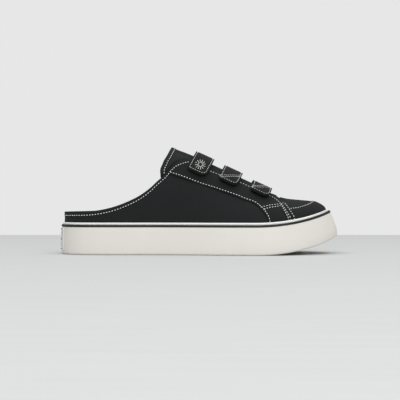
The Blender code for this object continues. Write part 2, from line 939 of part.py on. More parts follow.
def build_hook_pad(name, path):
    margin = HOOK_PAD_INSET / STRAP_WIDTH
    seat = CLEARANCE + OVERLAY_THICKNESS + STRAP_SEAT_CLEARANCE

    def pad_point(key, on_top):
        column = STRAP_COLUMNS[key[0]]
        share = key[1] / STRAP_ROWS
        top = path.point(column, share, False, None, -STRAP_SEAT_CLEARANCE)
        base = path.point(column, share, False, seat, 0.0)
        edge_back = path.point(0.0, share, False, seat, 0.0)
        edge_front = path.point(1.0, share, False, seat, 0.0)
        inward = (edge_front - edge_back) * (margin * (1.0 - 2.0 * column))
        return (top if on_top else base) + inward

    return thick_patch("hook_pad_" + name, strap_cells(*HOOK_PAD_ROWS),
                       lambda key: pad_point(key, True),
                       lambda key: pad_point(key, False), "hook_tape")


def stand_on_origin(solids):
    """Move the whole shoe so that the origin is under the middle of its box."""
    corners = [made.matrix_world @ vertex.co for made in solids for vertex in made.data.vertices]
    low = [min(corner[axis] for corner in corners) for axis in range(3)]
    high = [max(corner[axis] for corner in corners) for axis in range(3)]
    shift = Vector((-(low[0] + high[0]) / 2.0, -(low[1] + high[1]) / 2.0, -low[2]))
    for made in solids:
        made.location = shift


def main():
    for old in list(bpy.data.objects):
        bpy.data.objects.remove(old, do_unlink=True)
    solids = [
        build_outsole(),
        build_sidewall(),
        build_stripe(),
        build_label(),
        build_insole(),
        build_upper(),
        build_eyestay("lateral", False),
        build_eyestay("medial", True),
        build_toe_cap(),
        build_tongue(),
    ]
    for name, share, ridge_lift, end_drop in STRAPS:
        path = StrapPath(share, ridge_lift, end_drop)
        solids.append(build_strap(name, path))
        solids.append(build_hook_pad(name, path))
    stand_on_origin(solids)


main()
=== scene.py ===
"""Looks of the sneaker mule: canvas upper, rubber sidewall, straps, stitching and footbed."""
import math

import bmesh
import bpy
import numpy as np
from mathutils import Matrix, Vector


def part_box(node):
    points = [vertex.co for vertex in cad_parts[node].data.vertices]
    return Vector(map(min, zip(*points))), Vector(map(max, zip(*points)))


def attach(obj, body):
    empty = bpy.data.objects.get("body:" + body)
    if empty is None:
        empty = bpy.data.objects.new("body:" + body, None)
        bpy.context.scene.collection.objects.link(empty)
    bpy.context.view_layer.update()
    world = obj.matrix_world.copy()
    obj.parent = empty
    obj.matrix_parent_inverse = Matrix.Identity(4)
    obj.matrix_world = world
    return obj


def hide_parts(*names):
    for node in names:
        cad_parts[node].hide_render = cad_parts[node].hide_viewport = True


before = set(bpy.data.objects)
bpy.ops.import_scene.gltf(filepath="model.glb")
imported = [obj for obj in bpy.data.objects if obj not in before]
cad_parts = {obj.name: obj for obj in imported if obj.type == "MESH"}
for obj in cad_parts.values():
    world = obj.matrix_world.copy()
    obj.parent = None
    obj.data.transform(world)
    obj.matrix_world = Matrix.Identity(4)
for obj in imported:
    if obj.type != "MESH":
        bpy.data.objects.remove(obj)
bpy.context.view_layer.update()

MM = 0.001
FULL_TURN = 2.0 * math.pi

# Sizes of the shoe, as in its solids
SHOE_LENGTH = 276.0 * MM
BALL_WIDTH = 100.0 * MM
HEEL_WIDTH = 73.0 * MM
TOE_SPRING = 17.0 * MM
INSTEP_RISE = 74.0 * MM
COLLAR_RISE = 61.9 * MM
SIDEWALL_HEIGHT = 31.3 * MM
SIDEWALL_TOP_THICKNESS = 1.6 * MM
SIDEWALL_THICKNESS = 2.4 * MM
STRAIGHT_WALL_HEIGHT = 5.0 * MM
WALL_LEAN_POWER = 1.3
UPPER_TUCK = 8.0 * MM
TOE_INSET = 9.0 * MM
SIDE_INSET = 4.2 * MM
HEEL_INSET = 2.7 * MM
STRIPE_HEIGHT = 2.2 * MM
STRIPE_BELOW_TOP = 2.1 * MM
STRIPE_PROUD = 0.5 * MM
INSOLE_THICKNESS = 4.5 * MM
UPPER_WALL = 2.2 * MM
OVERLAY_THICKNESS = 1.5 * MM
OVERLAY_SEAT = 0.2 * MM
TOE_CAP_THICKNESS = 0.9 * MM
BAND_THICKNESS = 0.5 * MM
THROAT_HALF_WIDTH_BACK = 16.0 * MM
THROAT_HALF_WIDTH_FRONT = 18.5 * MM
FEATHER_HEIGHT = SIDEWALL_HEIGHT - UPPER_TUCK

# Places along the shoe, as shares of its length
SPRING_START = 0.688
SPRING_POWER = 2.1
HEEL_SPINE_START = 0.127
HEEL_SPINE_BLEND = 0.254
TOE_SPINE_BLEND = 0.688
TOE_SPINE_END = 0.880
THROAT_BACK = 0.4565
THROAT_FRONT = 0.793

# Plan of the sole: share of the length, outer and inner half width as shares of the local width
SOLE_PLAN = [
    (0.010, 0.192, 0.192),
    (0.040, 0.356, 0.356),
    (0.080, 0.452, 0.448),
    (0.130, 0.493, 0.490),
    (0.200, 0.502, 0.493),
    (0.300, 0.507, 0.466),
    (0.400, 0.487, 0.402),
    (0.500, 0.468, 0.362),
    (0.600, 0.485, 0.395),
    (0.680, 0.510, 0.455),
    (0.740, 0.508, 0.485),
    (0.800, 0.475, 0.492),
    (0.860, 0.405, 0.465),
    (0.910, 0.315, 0.405),
    (0.950, 0.210, 0.330),
    (0.980, 0.090, 0.250),
]
TOE_TIP_SHIFT = 0.080
WIDTH_BLEND_START = 0.30
WIDTH_BLEND_END = 0.60

# Ridge of the upper: share of the length, share of the instep rise above the sole core
RIDGE = [
    (0.000, 1.253),
    (0.145, 1.266),
    (0.272, 1.232),
    (0.344, 1.166),
    (0.399, 1.091),
    (0.464, 1.000),
    (0.565, 0.830),
    (0.663, 0.661),
    (0.743, 0.526),
    (0.793, 0.446),
    (0.808, 0.431),
    (0.826, 0.420),
    (0.862, 0.407),
    (0.880, 0.400),
]

# Line of the ridge in plan: share of the length, share of the ball width towards the inner side
RIDGE_PLAN = [
    (0.00, 0.000),
    (0.30, 0.020),
    (0.50, 0.050),
    (0.88, 0.085),
]

# Fullness of a rib: share of the length, at its foot, at its top
RIB_FULLNESS = [
    (0.00, 0.62, 0.60),
    (0.30, 0.60, 0.55),
    (0.55, 0.52, 0.52),
    (0.75, 0.52, 0.55),
    (0.88, 0.55, 0.55),
]

# Edge of the collar: share of the length, share of the collar rise above the sidewall
COLLAR = [
    (0.000, 0.168),
    (0.075, 0.173),
    (0.112, 0.179),
    (0.148, 0.199),
    (0.184, 0.234),
    (0.219, 0.284),
    (0.254, 0.349),
    (0.289, 0.431),
    (0.324, 0.546),
    (0.349, 0.653),
    (0.377, 0.763),
    (0.395, 0.864),
    (0.416, 0.952),
    (0.440, 0.990),
    (0.457, 1.000),
]

# Lower edge of the facing seen from the side, in the same shares
FACING_LINE = [
    (0.3800, 0.800),
    (0.3990, 0.752),
    (0.4640, 0.662),
    (0.5360, 0.548),
    (0.6090, 0.436),
    (0.6550, 0.350),
    (0.6850, 0.303),
    (0.7000, 0.262),
]

# Where the facing drops to the sidewall, and its front edge: share of the length, of the rise
FACING_DROP = [
    (0.7000, 0.262),
    (0.7100, 0.222),
    (0.7205, 0.168),
    (0.7320, 0.092),
    (0.7380, 0.020),
]
FACING_NOSE = [
    (0.7700, 0.418),
    (0.7790, 0.372),
    (0.7860, 0.330),
    (0.7915, 0.285),
    (0.7950, 0.235),
    (0.8010, 0.175),
    (0.8085, 0.105),
    (0.8160, 0.040),
]

# Top edge of the toe cap, and its back edge from the top down
TOE_CAP_LINE = [
    (0.7900, 0.212),
    (0.8260, 0.224),
    (0.8550, 0.242),
    (0.8910, 0.290),
    (0.9100, 0.330),
]
TOE_CAP_BACK = [
    (0.8020, 0.216),
    (0.8085, 0.170),
    (0.8170, 0.105),
    (0.8250, 0.050),
]

# Narrow band over the joint of facing and toe cap: back edge and front edge from the top down
BAND_BACK = [
    (0.7795, 0.262),
    (0.7880, 0.185),
    (0.7965, 0.110),
    (0.8055, 0.030),
]
BAND_FRONT = [
    (0.8035, 0.262),
    (0.8120, 0.205),
    (0.8230, 0.130),
    (0.8355, 0.045),
]

# Back rim of the tongue: share of the collar rise above the sidewall, share of the length
TONGUE_RIM = [
    (0.60, 0.3600),
    (0.76, 0.3590),
    (0.85, 0.3580),
    (0.93, 0.3652),
    (1.00, 0.3714),
    (1.05, 0.3783),
    (1.11, 0.3851),
    (1.17, 0.3917),
    (1.20, 0.3985),
]
TONGUE_SIDE_SHARE = 0.56
TONGUE_FRONT = 0.835
TONGUE_THICKNESS = 3.2 * MM
TONGUE_CLEARANCE = 1.2 * MM
TONGUE_BULGE = 4.9 * MM
TONGUE_BULGE_HALF_WIDTH = 14.0 * MM
TONGUE_BULGE_UNDERSIDE = 0.75
TONGUE_FLUSH = 2.7 * MM
BULGE_FADE_START = 0.735
BULGE_FADE_END = 0.770

# Straps: name, place on the ridge as a share of the length, lift over the ridge, drop of the
# end, height of the rows across the end
STRAPS = [
    ("top", 0.5096, 4.5 * MM, 19.4 * MM, None),
    ("middle", 0.6134, 3.8 * MM, 14.2 * MM, 77.0 * MM),
    ("lower", 0.7203, 2.1 * MM, 9.2 * MM, 66.8 * MM),
]
STRAP_WIDTH = 19.8 * MM
STRAP_THICKNESS = 2.7 * MM
STRAP_SLOPE_DEG = 25.0
STRAP_END_LIFT = 4.3 * MM
STRAP_SEAT_LIFT = 2.0 * MM
STRAP_INNER_REACH = 12.0 * MM
STRAP_BACK_CORNER = 2.5 * MM
STRAP_FRONT_CORNER = 6.0 * MM

# Cloth
COLLAR_HEM = 4.2 * MM
HEM_HEIGHT = 0.45 * MM
FOLD_HEIGHT = 0.35 * MM
WEAVE_PITCH = 0.75 * MM
TOE_CAP_SEAM_INSET = 1.0 * MM
TONGUE_SEAM_INSET = 4.0 * MM
BINDING_HEIGHT = 0.5 * MM
STATION_SPREAD = 0.12

# Start of the facing and of the toe cap's seam: share of the length, share of the collar rise
FACING_START_SHARE = 0.388
FACING_START_RISE = 0.79
TOE_CAP_SEAM_START_SHARE = 0.812
TOE_CAP_SEAM_START_RISE = 0.216

# Gap of the facing to the collar edge and its least height, as shares of a rib
FACING_EDGE_GAP = 0.004
FACING_LEAST_RISE = 0.006

# Hook tape: its ends as shares of the outer half of the strap, its width as a share of the strap
HOOK_TAPE_START = 0.40
HOOK_TAPE_END = 0.93
HOOK_TAPE_WIDTH_SHARE = 0.84

# Rubber
SOLE_EDGE_RADIUS = 1.9 * MM
GROOVE_DEPTH = 0.9 * MM
TREAD_PITCH = 6.0 * MM
TREAD_ZIGZAG = 12.0 * MM
TREAD_DEPTH = 1.1 * MM
LABEL_HALF_TURN = 0.208
LABEL_BOTTOM = 4.0 * MM
LABEL_TOP = 26.0 * MM
LABEL_FRAME_MARGIN = 0.8 * MM
LABEL_FRAME_WIDTH = 0.7 * MM
LABEL_BAR_HEIGHT = 2.0 * MM
LABEL_FRAME_TURN = 0.011
LABEL_FRAME_INSET_TURN = 0.012
LABEL_PLATE_PROUD = 0.85 * MM
LABEL_LINE_PROUD = 0.97 * MM

# Bars of the label: height of the middle over the middle of the label, half its turn
LABEL_BARS = [
    (5.2 * MM, 0.10),
    (0.0 * MM, 0.14),
    (-5.2 * MM, 0.10),
]

# Stitching
STITCH_PITCH = 2.8 * MM
STITCH_LENGTH = 1.6 * MM
STITCH_RADIUS = 0.33 * MM
COLLAR_STITCH_INSET = 3.7 * MM
COLLAR_TOP_STITCH_DROP = 2.0 * MM
STRAP_STITCH_INSET = 1.5 * MM
STRAP_STITCH_START = -0.9
STRAP_STITCH_END = 0.962
CROSS_ROW_OFFSET = 0.75 * MM
EMBLEM_HEIGHT = 88.2 * MM
EMBLEM_RAYS = 12
EMBLEM_INNER = 2.2 * MM
EMBLEM_OUTER = 4.6 * MM

# Stitches on the straps: pitch, length, radius
STRAP_EDGE_STITCH = (2.4 * MM, 1.4 * MM, 0.25 * MM)
EMBLEM_STITCH = (1.2 * MM, 1.5 * MM, 0.25 * MM)
CROSS_ROW_STITCH = (2.1 * MM, 1.5 * MM, 0.22 * MM)

# Seam lines seen from the side: share of the length, share of the collar rise
FACING_SEAM = [
    (0.3960, 0.784),
    (0.4280, 0.740),
    (0.4640, 0.680),
    (0.5000, 0.617),
    (0.5360, 0.565),
    (0.5800, 0.500),
    (0.6090, 0.453),
    (0.6390, 0.405),
    (0.6610, 0.362),
    (0.6900, 0.316),
    (0.7050, 0.270),
    (0.7140, 0.236),
    (0.7250, 0.181),
    (0.7370, 0.100),
    (0.7430, 0.020),
]
NOSE_SEAM_UPPER = [
    (0.7140, 0.232),
    (0.7430, 0.258),
    (0.7630, 0.268),
    (0.7805, 0.276),
]
NOSE_SEAM_LOWER = [
    (0.7250, 0.201),
    (0.7430, 0.222),
    (0.7630, 0.235),
    (0.7805, 0.247),
]
BAND_SEAM_BACK = [
    (0.7840, 0.258),
    (0.7925, 0.185),
    (0.8010, 0.110),
    (0.8100, 0.035),
]
BAND_SEAM_MIDDLE = [
    (0.7895, 0.243),
    (0.7990, 0.175),
    (0.8080, 0.110),
    (0.8175, 0.040),
]
BAND_SEAM_FRONT = [
    (0.7850, 0.268),
    (0.7915, 0.281),
    (0.7980, 0.275),
    (0.8038, 0.243),
    (0.8090, 0.209),
    (0.8195, 0.135),
    (0.8310, 0.055),
]
THROAT_SEAM = [
    (0.4700, 0.915),
    (0.5000, 0.868),
    (0.5390, 0.790),
    (0.5740, 0.728),
    (0.6460, 0.607),
    (0.6760, 0.545),
    (0.7350, 0.425),
    (0.7605, 0.372),
    (0.7740, 0.322),
    (0.7830, 0.285),
    (0.7870, 0.262),
]

# Camera and room: one pixel of the 400 pixel view is a millimetre at the middle of the shoe
CAMERA_DISTANCE = 1.10
CAMERA_HEIGHT = 53.3 * MM
CAMERA_ALONG = 138.0 * MM
VIEW_WIDTH = 0.400
SENSOR_WIDTH = 36.0
WALL_BEHIND = 0.575
FLOOR_REACH = 5.0
BACKDROP_TONE = 231
BACKDROP_STRENGTH = 1.0
LIGHTING_STRENGTH = 0.5

# Softboxes: name, place, point that it faces, width and height, power in watts
SOFTBOXES = [
    ("overhead softbox", (0.0, -0.1, 1.9), (0.0, -0.1, 0.0), (3.2, 3.2), 44.0),
    ("front softbox", (0.3, -1.8, 0.9), (0.0, 0.0, 0.05), (1.6, 1.2), 15.0),
]


# Curves through short tables
def curve(table, column, at):
    """Values on a smooth curve through a table's rows, straight past both ends."""
    knots = np.array([row[0] for row in table])
    values = np.array([row[column] for row in table])
    slopes = np.empty(len(knots))
    slopes[1:-1] = (values[2:] - values[:-2]) / (knots[2:] - knots[:-2])
    slopes[0] = (values[1] - values[0]) / (knots[1] - knots[0])
    slopes[-1] = (values[-1] - values[-2]) / (knots[-1] - knots[-2])
    at = np.asarray(at, float)
    low = np.clip(np.searchsorted(knots, at, side="right") - 1, 0, len(knots) - 2)
    span = knots[low + 1] - knots[low]
    inside = np.clip(at, knots[0], knots[-1])
    step = (inside - knots[low]) / span
    pull_low = slopes[low] * span
    pull_high = slopes[low + 1] * span
    rise = values[low + 1] - values[low]
    bend = 3.0 * rise - 2.0 * pull_low - pull_high
    twist = pull_low + pull_high - 2.0 * rise
    smooth = values[low] + step * (pull_low + step * (bend + step * twist))
    past = at - inside
    return smooth + past * np.where(past < 0.0, slopes[0], slopes[-1])


def smooth_step(start, end, at):
    share = np.clip((np.asarray(at, float) - start) / (end - start), 0.0, 1.0)
    return share * share * (3.0 - 2.0 * share)


def find_root(function, low, high, rounds=30):
    """Places where a rising function is zero, by halving."""
    low = np.array(low, float)
    high = np.array(high, float)
    for _ in range(rounds):
        middle = 0.5 * (low + high)
        below = function(middle) < 0.0
        low = np.where(below, middle, low)
        high = np.where(below, high, middle)
    return 0.5 * (low + high)


# Plan of the sole. A turn runs from 0 at the heel along the outer side to pi at the toe and back
# along the inner side to two pi.
def plan_angle(share):
    return np.arccos(1.0 - 2.0 * np.clip(share, 0.0, 1.0))


def plan_table():
    outer = [(float(plan_angle(share)), -width) for share, width, _ in SOLE_PLAN]
    inner = [(FULL_TURN - float(plan_angle(share)), width)
             for share, _, width in reversed(SOLE_PLAN)]
    knots = [(0.0, 0.0)] + outer + [(math.pi, TOE_TIP_SHIFT)] + inner + [(FULL_TURN, 0.0)]
    before = (knots[-2][0] - FULL_TURN, knots[-2][1])
    after = (knots[1][0] + FULL_TURN, knots[1][1])
    return [before] + knots + [after]


PLAN_KNOTS = plan_table()


def length_share(turn):
    return 0.5 * (1.0 - np.cos(turn))


def points(x, y, z):
    x, y, z = np.broadcast_arrays(x, y, z)
    return np.stack([x, y, z], axis=-1).astype(float)


def outline(turn):
    turn = np.mod(turn, FULL_TURN)
    share = length_share(turn)
    blend = smooth_step(WIDTH_BLEND_START, WIDTH_BLEND_END, share)
    width = HEEL_WIDTH + (BALL_WIDTH - HEEL_WIDTH) * blend
    return points(share * SHOE_LENGTH, curve(PLAN_KNOTS, 1, turn) * width, 0.0)


def unit(vectors):
    return vectors / np.maximum(np.linalg.norm(vectors, axis=-1, keepdims=True), 1e-12)


def outline_normal(turn):
    turn = np.asarray(turn, float)
    along = outline(turn + 0.01) - outline(turn - 0.01)
    return unit(points(along[..., 1], -along[..., 0], 0.0))


def feather(turn):
    """Foot of the upper in plan, drawn in from the outline of the sole."""
    normal = outline_normal(turn)
    ahead = np.maximum(normal[..., 0], 0.0)
    behind = np.maximum(-normal[..., 0], 0.0)
    inset = SIDE_INSET + (TOE_INSET - SIDE_INSET) * ahead ** 3
    inset += (HEEL_INSET - SIDE_INSET) * behind ** 2
    return outline(turn) - normal * inset[..., None]


def spring_height(x):
    """Height of the underside of the sole over the floor."""
    start = SPRING_START * SHOE_LENGTH
    past = np.maximum(x - start, 0.0) / (SHOE_LENGTH - start)
    return TOE_SPRING * past ** SPRING_POWER


# Skin of the upper. Ribs run from the feather up to the ridge and fan out at heel and toe.
def spine_share(share):
    share = np.asarray(share, float)
    heel_span = HEEL_SPINE_BLEND - HEEL_SPINE_START
    heel = HEEL_SPINE_START + heel_span * (share / HEEL_SPINE_BLEND) ** (
        HEEL_SPINE_BLEND / heel_span)
    toe_span = TOE_SPINE_END - TOE_SPINE_BLEND
    left = np.clip((1.0 - share) / (1.0 - TOE_SPINE_BLEND), 0.0, 1.0)
    toe = TOE_SPINE_END - toe_span * left ** ((1.0 - TOE_SPINE_BLEND) / toe_span)
    middle = np.where(share < HEEL_SPINE_BLEND, heel, share)
    return np.where(share > TOE_SPINE_BLEND, toe, middle)


def ridge_point(share):
    return points(
        share * SHOE_LENGTH,
        curve(RIDGE_PLAN, 1, share) * BALL_WIDTH,
        FEATHER_HEIGHT + curve(RIDGE, 1, share) * INSTEP_RISE,
    )


def skin(turn, climb):
    """Points of the outer skin: climb is 0 at the feather and 1 on the ridge."""
    turn, climb = np.broadcast_arrays(np.asarray(turn, float), np.asarray(climb, float))
    share = spine_share(length_share(turn))
    foot = feather(turn)
    foot[..., 2] = FEATHER_HEIGHT + spring_height(foot[..., 0])
    top = ridge_point(share)
    foot_fullness = curve(RIB_FULLNESS, 1, share)
    top_fullness = curve(RIB_FULLNESS, 2, share)
    rest = 1.0 - climb
    inward = 3.0 * rest * climb ** 2 * (1.0 - top_fullness) + climb ** 3
    upward = 3.0 * rest ** 2 * climb * foot_fullness + 3.0 * rest * climb ** 2 + climb ** 3
    place = foot + (top - foot) * inward[..., None]
    place[..., 2] = foot[..., 2] + (top[..., 2] - foot[..., 2]) * upward
    return place


def one_side_normal(turn, climb):
    level = np.minimum(climb, 0.95)
    along = skin(turn + 0.012, level) - skin(turn - 0.012, level)
    over = skin(turn, np.minimum(climb + 0.012, 1.0)) - skin(turn, np.maximum(climb - 0.012, 0.0))
    return unit(np.cross(along, over))


def skin_normal(turn, climb):
    turn, climb = np.broadcast_arrays(np.asarray(turn, float), np.asarray(climb, float))
    here = one_side_normal(turn, climb)
    there = one_side_normal(FULL_TURN - turn, climb)
    return unit(here + there * (climb > 0.999)[..., None])


def over_skin(turn, climb, lift):
    lift = np.asarray(lift, float)
    return skin(turn, climb) + skin_normal(turn, climb) * lift[..., None]


def climb_to_height(turn, height):
    """Climb at which the skin stands this high over the underside of the sole."""
    def above(climb):
        place = skin(turn, climb)
        return place[..., 2] - spring_height(place[..., 0]) - height
    zero = np.zeros(np.shape(turn))
    return find_root(above, zero, zero + 1.0)


def line_height(table, share):
    return SIDEWALL_HEIGHT + COLLAR_RISE * curve(table, 1, share)


def climb_to_line(turn, table):
    """Climb at which the skin meets a line given over the length."""
    def above(climb):
        place = skin(turn, climb)
        return place[..., 2] - line_height(table, place[..., 0] / SHOE_LENGTH)
    zero = np.zeros(np.shape(turn))
    return find_root(above, zero, zero + 1.0)


def climb_to_throat(turn):
    """Climb at which the skin comes this near to the ridge in plan."""
    share = length_share(turn)
    blend = smooth_step(THROAT_BACK, THROAT_FRONT, share)
    half_width = THROAT_HALF_WIDTH_BACK + (
        THROAT_HALF_WIDTH_FRONT - THROAT_HALF_WIDTH_BACK) * blend
    ridge_y = ridge_point(spine_share(share))[..., 1]
    zero = np.zeros(np.shape(turn))
    return find_root(lambda climb: half_width - np.abs(skin(turn, climb)[..., 1] - ridge_y),
                     zero, zero + 1.0)


def edge_climb(turn):
    """Climb of the free edge of the upper, along the collar and then the throat."""
    turn = np.asarray(turn, float)
    return np.where(length_share(turn) < THROAT_BACK,
                    climb_to_line(turn, COLLAR), climb_to_throat(turn))


def tuck_climb(turn, extra=0.0):
    """Climb just over the top of the sidewall."""
    return climb_to_height(turn, SIDEWALL_HEIGHT + extra)


def spine_angle(share):
    """Angle of the rib that meets the ridge at a share of the length."""
    share = np.asarray(share, float)
    zero = np.zeros(share.shape)
    return find_root(lambda angle: spine_share(length_share(angle)) - share,
                     zero, zero + math.pi, 40)


THROAT_ANGLE = float(spine_angle(THROAT_FRONT))


def on_side(x_share, rise_share):
    """Angle and climb of the point of the skin that a side view shows at this place."""
    x = np.asarray(x_share, float) * SHOE_LENGTH
    z = SIDEWALL_HEIGHT + np.asarray(rise_share, float) * COLLAR_RISE
    angle = plan_angle(x / SHOE_LENGTH)
    climb = np.zeros(x.shape)
    for _ in range(14):
        climb = find_root(lambda at: skin(angle, at)[..., 2] - z,
                          np.zeros(x.shape), np.ones(x.shape), 24)
        miss = x - skin(angle, climb)[..., 0]
        angle = plan_angle(np.clip(length_share(angle) + miss / SHOE_LENGTH, 0.001, 0.9999))
    return angle, climb


def table_points(table, count):
    """Even steps along a line of side view places, as two arrays of shares."""
    knots = np.array(table, float)
    step = np.linalg.norm(np.diff(knots * [SHOE_LENGTH, COLLAR_RISE], axis=0), axis=1)
    run = np.concatenate([[0.0], np.cumsum(step)])
    wanted = np.linspace(0.0, run[-1], count)
    rows = [(float(a), float(b), float(c)) for a, (b, c) in zip(run, knots)]
    return curve(rows, 1, wanted), curve(rows, 2, wanted)


def mirrored(angle, inner_side):
    return FULL_TURN - angle if inner_side else angle


# The shoe's own places start at the heel of the sidewall; the frame has its origin mid-shoe
side_turns = np.linspace(0.0, FULL_TURN, 2000)
side_y = outline(side_turns)[:, 1]
SHIFT = np.array([
    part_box("sidewall")[0].x,
    -0.5 * (side_y.min() + side_y.max()),
    0.0,
])


# Shader expressions
class Value:
    """A number in a shader that takes part in ordinary sums."""

    def __init__(self, shader, socket):
        self.shader = shader
        self.socket = socket

    def join(self, operation, first, second):
        made = self.shader.node("ShaderNodeMath", {"operation": operation}, {0: first, 1: second})
        return made.out()

    def __add__(self, other):
        return self.join("ADD", self, other)

    def __radd__(self, other):
        return self.join("ADD", other, self)

    def __sub__(self, other):
        return self.join("SUBTRACT", self, other)

    def __rsub__(self, other):
        return self.join("SUBTRACT", other, self)

    def __mul__(self, other):
        return self.join("MULTIPLY", self, other)

    def __rmul__(self, other):
        return self.join("MULTIPLY", other, self)

    def sine(self):
        return self.join("SINE", self, 0.0)


class Made:
    """A shader node that was just made."""

    def __init__(self, shader, node):
        self.shader = shader
        self.node = node

    def out(self, name=0):
        return Value(self.shader, self.node.outputs[name])


class Finish:
    """A material of one Principled shader whose surface is written as sums."""

    def __init__(self, name, roughness, coat=0.0, sheen=0.0, specular=0.5):
        self.material = bpy.data.materials.new(name)
        self.material.use_nodes = True
        self.tree = self.material.node_tree
        self.surface = self.tree.nodes["Principled BSDF"]
        self.surface.inputs["Roughness"].default_value = roughness
        self.surface.inputs["Coat Weight"].default_value = coat
        self.surface.inputs["Sheen Weight"].default_value = sheen
        self.surface.inputs["Specular IOR Level"].default_value = specular

    def node(self, kind, settings=None, sockets=None):
        made = self.tree.nodes.new(kind)
        for name, value in (settings or {}).items():
            setattr(made, name, value)
        for name, value in (sockets or {}).items():
            self.feed(made.inputs[name], value)
        return Made(self, made)

    def feed(self, socket, value):
        if isinstance(value, Value):
            self.tree.links.new(value.socket, socket)
        else:
            socket.default_value = value

    def object_place(self):
        return self.node("ShaderNodeTexCoord").out("Object")

    def cloth_place(self):
        return self.node("ShaderNodeUVMap", {"uv_map": "cloth"}).out("UV")

    def parts(self, vector):
        split = self.node("ShaderNodeSeparateXYZ", None, {0: vector})
        return split.out("X"), split.out("Y"), split.out("Z")

    def noise(self, place, scale, detail=3.0, rough=0.5):
        made = self.node("ShaderNodeTexNoise", {"noise_dimensions": "3D"},
                         {"Vector": place, "Scale": scale, "Detail": detail, "Roughness": rough})
        return made.out("Fac")

    def blend(self, share, dark, light):
        """Colour between two linear colours."""
        def filled(colour):
            return colour if isinstance(colour, Value) else (*colour, 1.0)
        made = self.node("ShaderNodeMix", {"data_type": "RGBA"},
                         {0: share, 6: filled(dark), 7: filled(light)})
        return made.out(2)

    def colour(self, value):
        if isinstance(value, Value):
            self.feed(self.surface.inputs["Base Color"], value)
        else:
            self.surface.inputs["Base Color"].default_value = (*value, 1.0)

    def roughness(self, value):
        self.feed(self.surface.inputs["Roughness"], value)

    def relief(self, height, depth, strength=1.0):
        made = self.node("ShaderNodeBump", None,
                         {"Strength": strength, "Distance": depth, "Height": height})
        self.feed(self.surface.inputs["Normal"], made.out("Normal"))


def linear(red, green, blue):
    """Linear colour from sRGB parts of 0 to 255."""
    return tuple(((part / 255.0 + 0.055) / 1.055) ** 2.4 for part in (red, green, blue))


def woven_finish(name, dark, light, pitch, roughness, sheen):
    """Plain weave of threads at a pitch, with slubs and slight fading."""
    finish = Finish(name, roughness, sheen=sheen, specular=0.16)
    cloth = finish.cloth_place()
    u, v, _ = finish.parts(cloth)
    place = finish.object_place()
    warp = (u * (FULL_TURN / pitch)).sine()
    weft = (v * (FULL_TURN / pitch)).sine()
    weave = 0.5 + warp * weft * 0.5
    slub = finish.noise(cloth, 900.0, 2.0)
    cloud = finish.noise(place, 22.0, 4.0)
    shade = weave * 0.35 + slub * 0.35 + cloud * 0.6 - 0.15
    finish.colour(finish.blend(shade, dark, light))
    finish.relief(weave * 0.7 + slub * 0.5, 0.16 * MM)
    return finish.material


def nap_finish(name, dark, light, roughness, sheen):
    """Brushed loop fabric: short crossing fibres."""
    finish = Finish(name, roughness, sheen=sheen, specular=0.12)
    place = finish.object_place()
    fibre = finish.noise(place, 1400.0, 4.0, 0.7)
    tuft = finish.noise(place, 260.0, 3.0)
    finish.colour(finish.blend(fibre * 0.6 + tuft * 0.7 - 0.15, dark, light))
    finish.relief(fibre * 0.7 + tuft * 0.6, 0.25 * MM)
    return finish.material


def rubber_finish(name, dark, light, roughness, coat):
    """Moulded rubber with a faint grain and a little dust."""
    finish = Finish(name, roughness, coat=coat, specular=0.4)
    place = finish.object_place()
    cloud = finish.noise(place, 14.0, 4.0)
    speck = finish.noise(place, 700.0, 3.0)
    finish.colour(finish.blend(cloud * 0.8 + speck * 0.2, dark, light))
    finish.roughness(cloud * 0.12 + speck * 0.10 + (roughness - 0.10))
    finish.relief(speck, 0.05 * MM, 0.5)
    return finish.material


CANVAS = woven_finish("black canvas", linear(24, 27, 27), linear(38, 41, 41), WEAVE_PITCH, 0.9, 0.02)
# Darker copy of the black canvas for the facings, toe cap and bands. Painted shade: it offsets the
# overhead light on these up-facing pieces and stands for the straps' shadow on the facings.
PAINTED_SHADE_CANVAS = woven_finish("darker canvas, painted shade", linear(22, 24, 24), linear(35, 37, 37),
                             WEAVE_PITCH, 0.9, 0.02)
TONGUE_CANVAS = woven_finish("black tongue canvas", linear(26, 29, 28), linear(39, 43, 42),
                             WEAVE_PITCH, 0.9, 0.02)
LINING = woven_finish("black lining", linear(20, 21, 22), linear(32, 33, 34), 0.5 * MM, 0.95, 0.02)
FOOTBED = nap_finish("footbed fabric", linear(20, 21, 22), linear(34, 35, 36), 0.95, 0.03)
STRAP_LOOP = nap_finish("strap loop fabric", linear(18, 19, 19), linear(40, 41, 41), 0.92, 0.03)
HOOK_TAPE = nap_finish("hook tape", linear(8, 8, 9), linear(20, 20, 21), 0.95, 0.0)
SIDEWALL_RUBBER = rubber_finish("off-white sidewall rubber", linear(221, 217, 210),
                                linear(231, 228, 222), 0.52, 0.05)
RIM_RUBBER = rubber_finish("white rim rubber", linear(240, 240, 237), linear(247, 247, 245),
                           0.5, 0.05)
TREAD_RUBBER = rubber_finish("off-white tread rubber", linear(216, 211, 200),
                             linear(228, 224, 214), 0.60, 0.0)
STRIPE_RUBBER = rubber_finish("black stripe rubber", linear(16, 17, 16), linear(28, 29, 28),
                              0.5, 0.0)
LABEL_RUBBER = rubber_finish("white label rubber", linear(232, 231, 228), linear(240, 239, 236),
                             0.45, 0.05)
LABEL_INK = rubber_finish("dark label print", linear(30, 31, 32), linear(46, 47, 48), 0.5, 0.0)
THREAD = rubber_finish("pale thread", linear(232, 232, 229), linear(247, 247, 244), 0.75, 0.0)


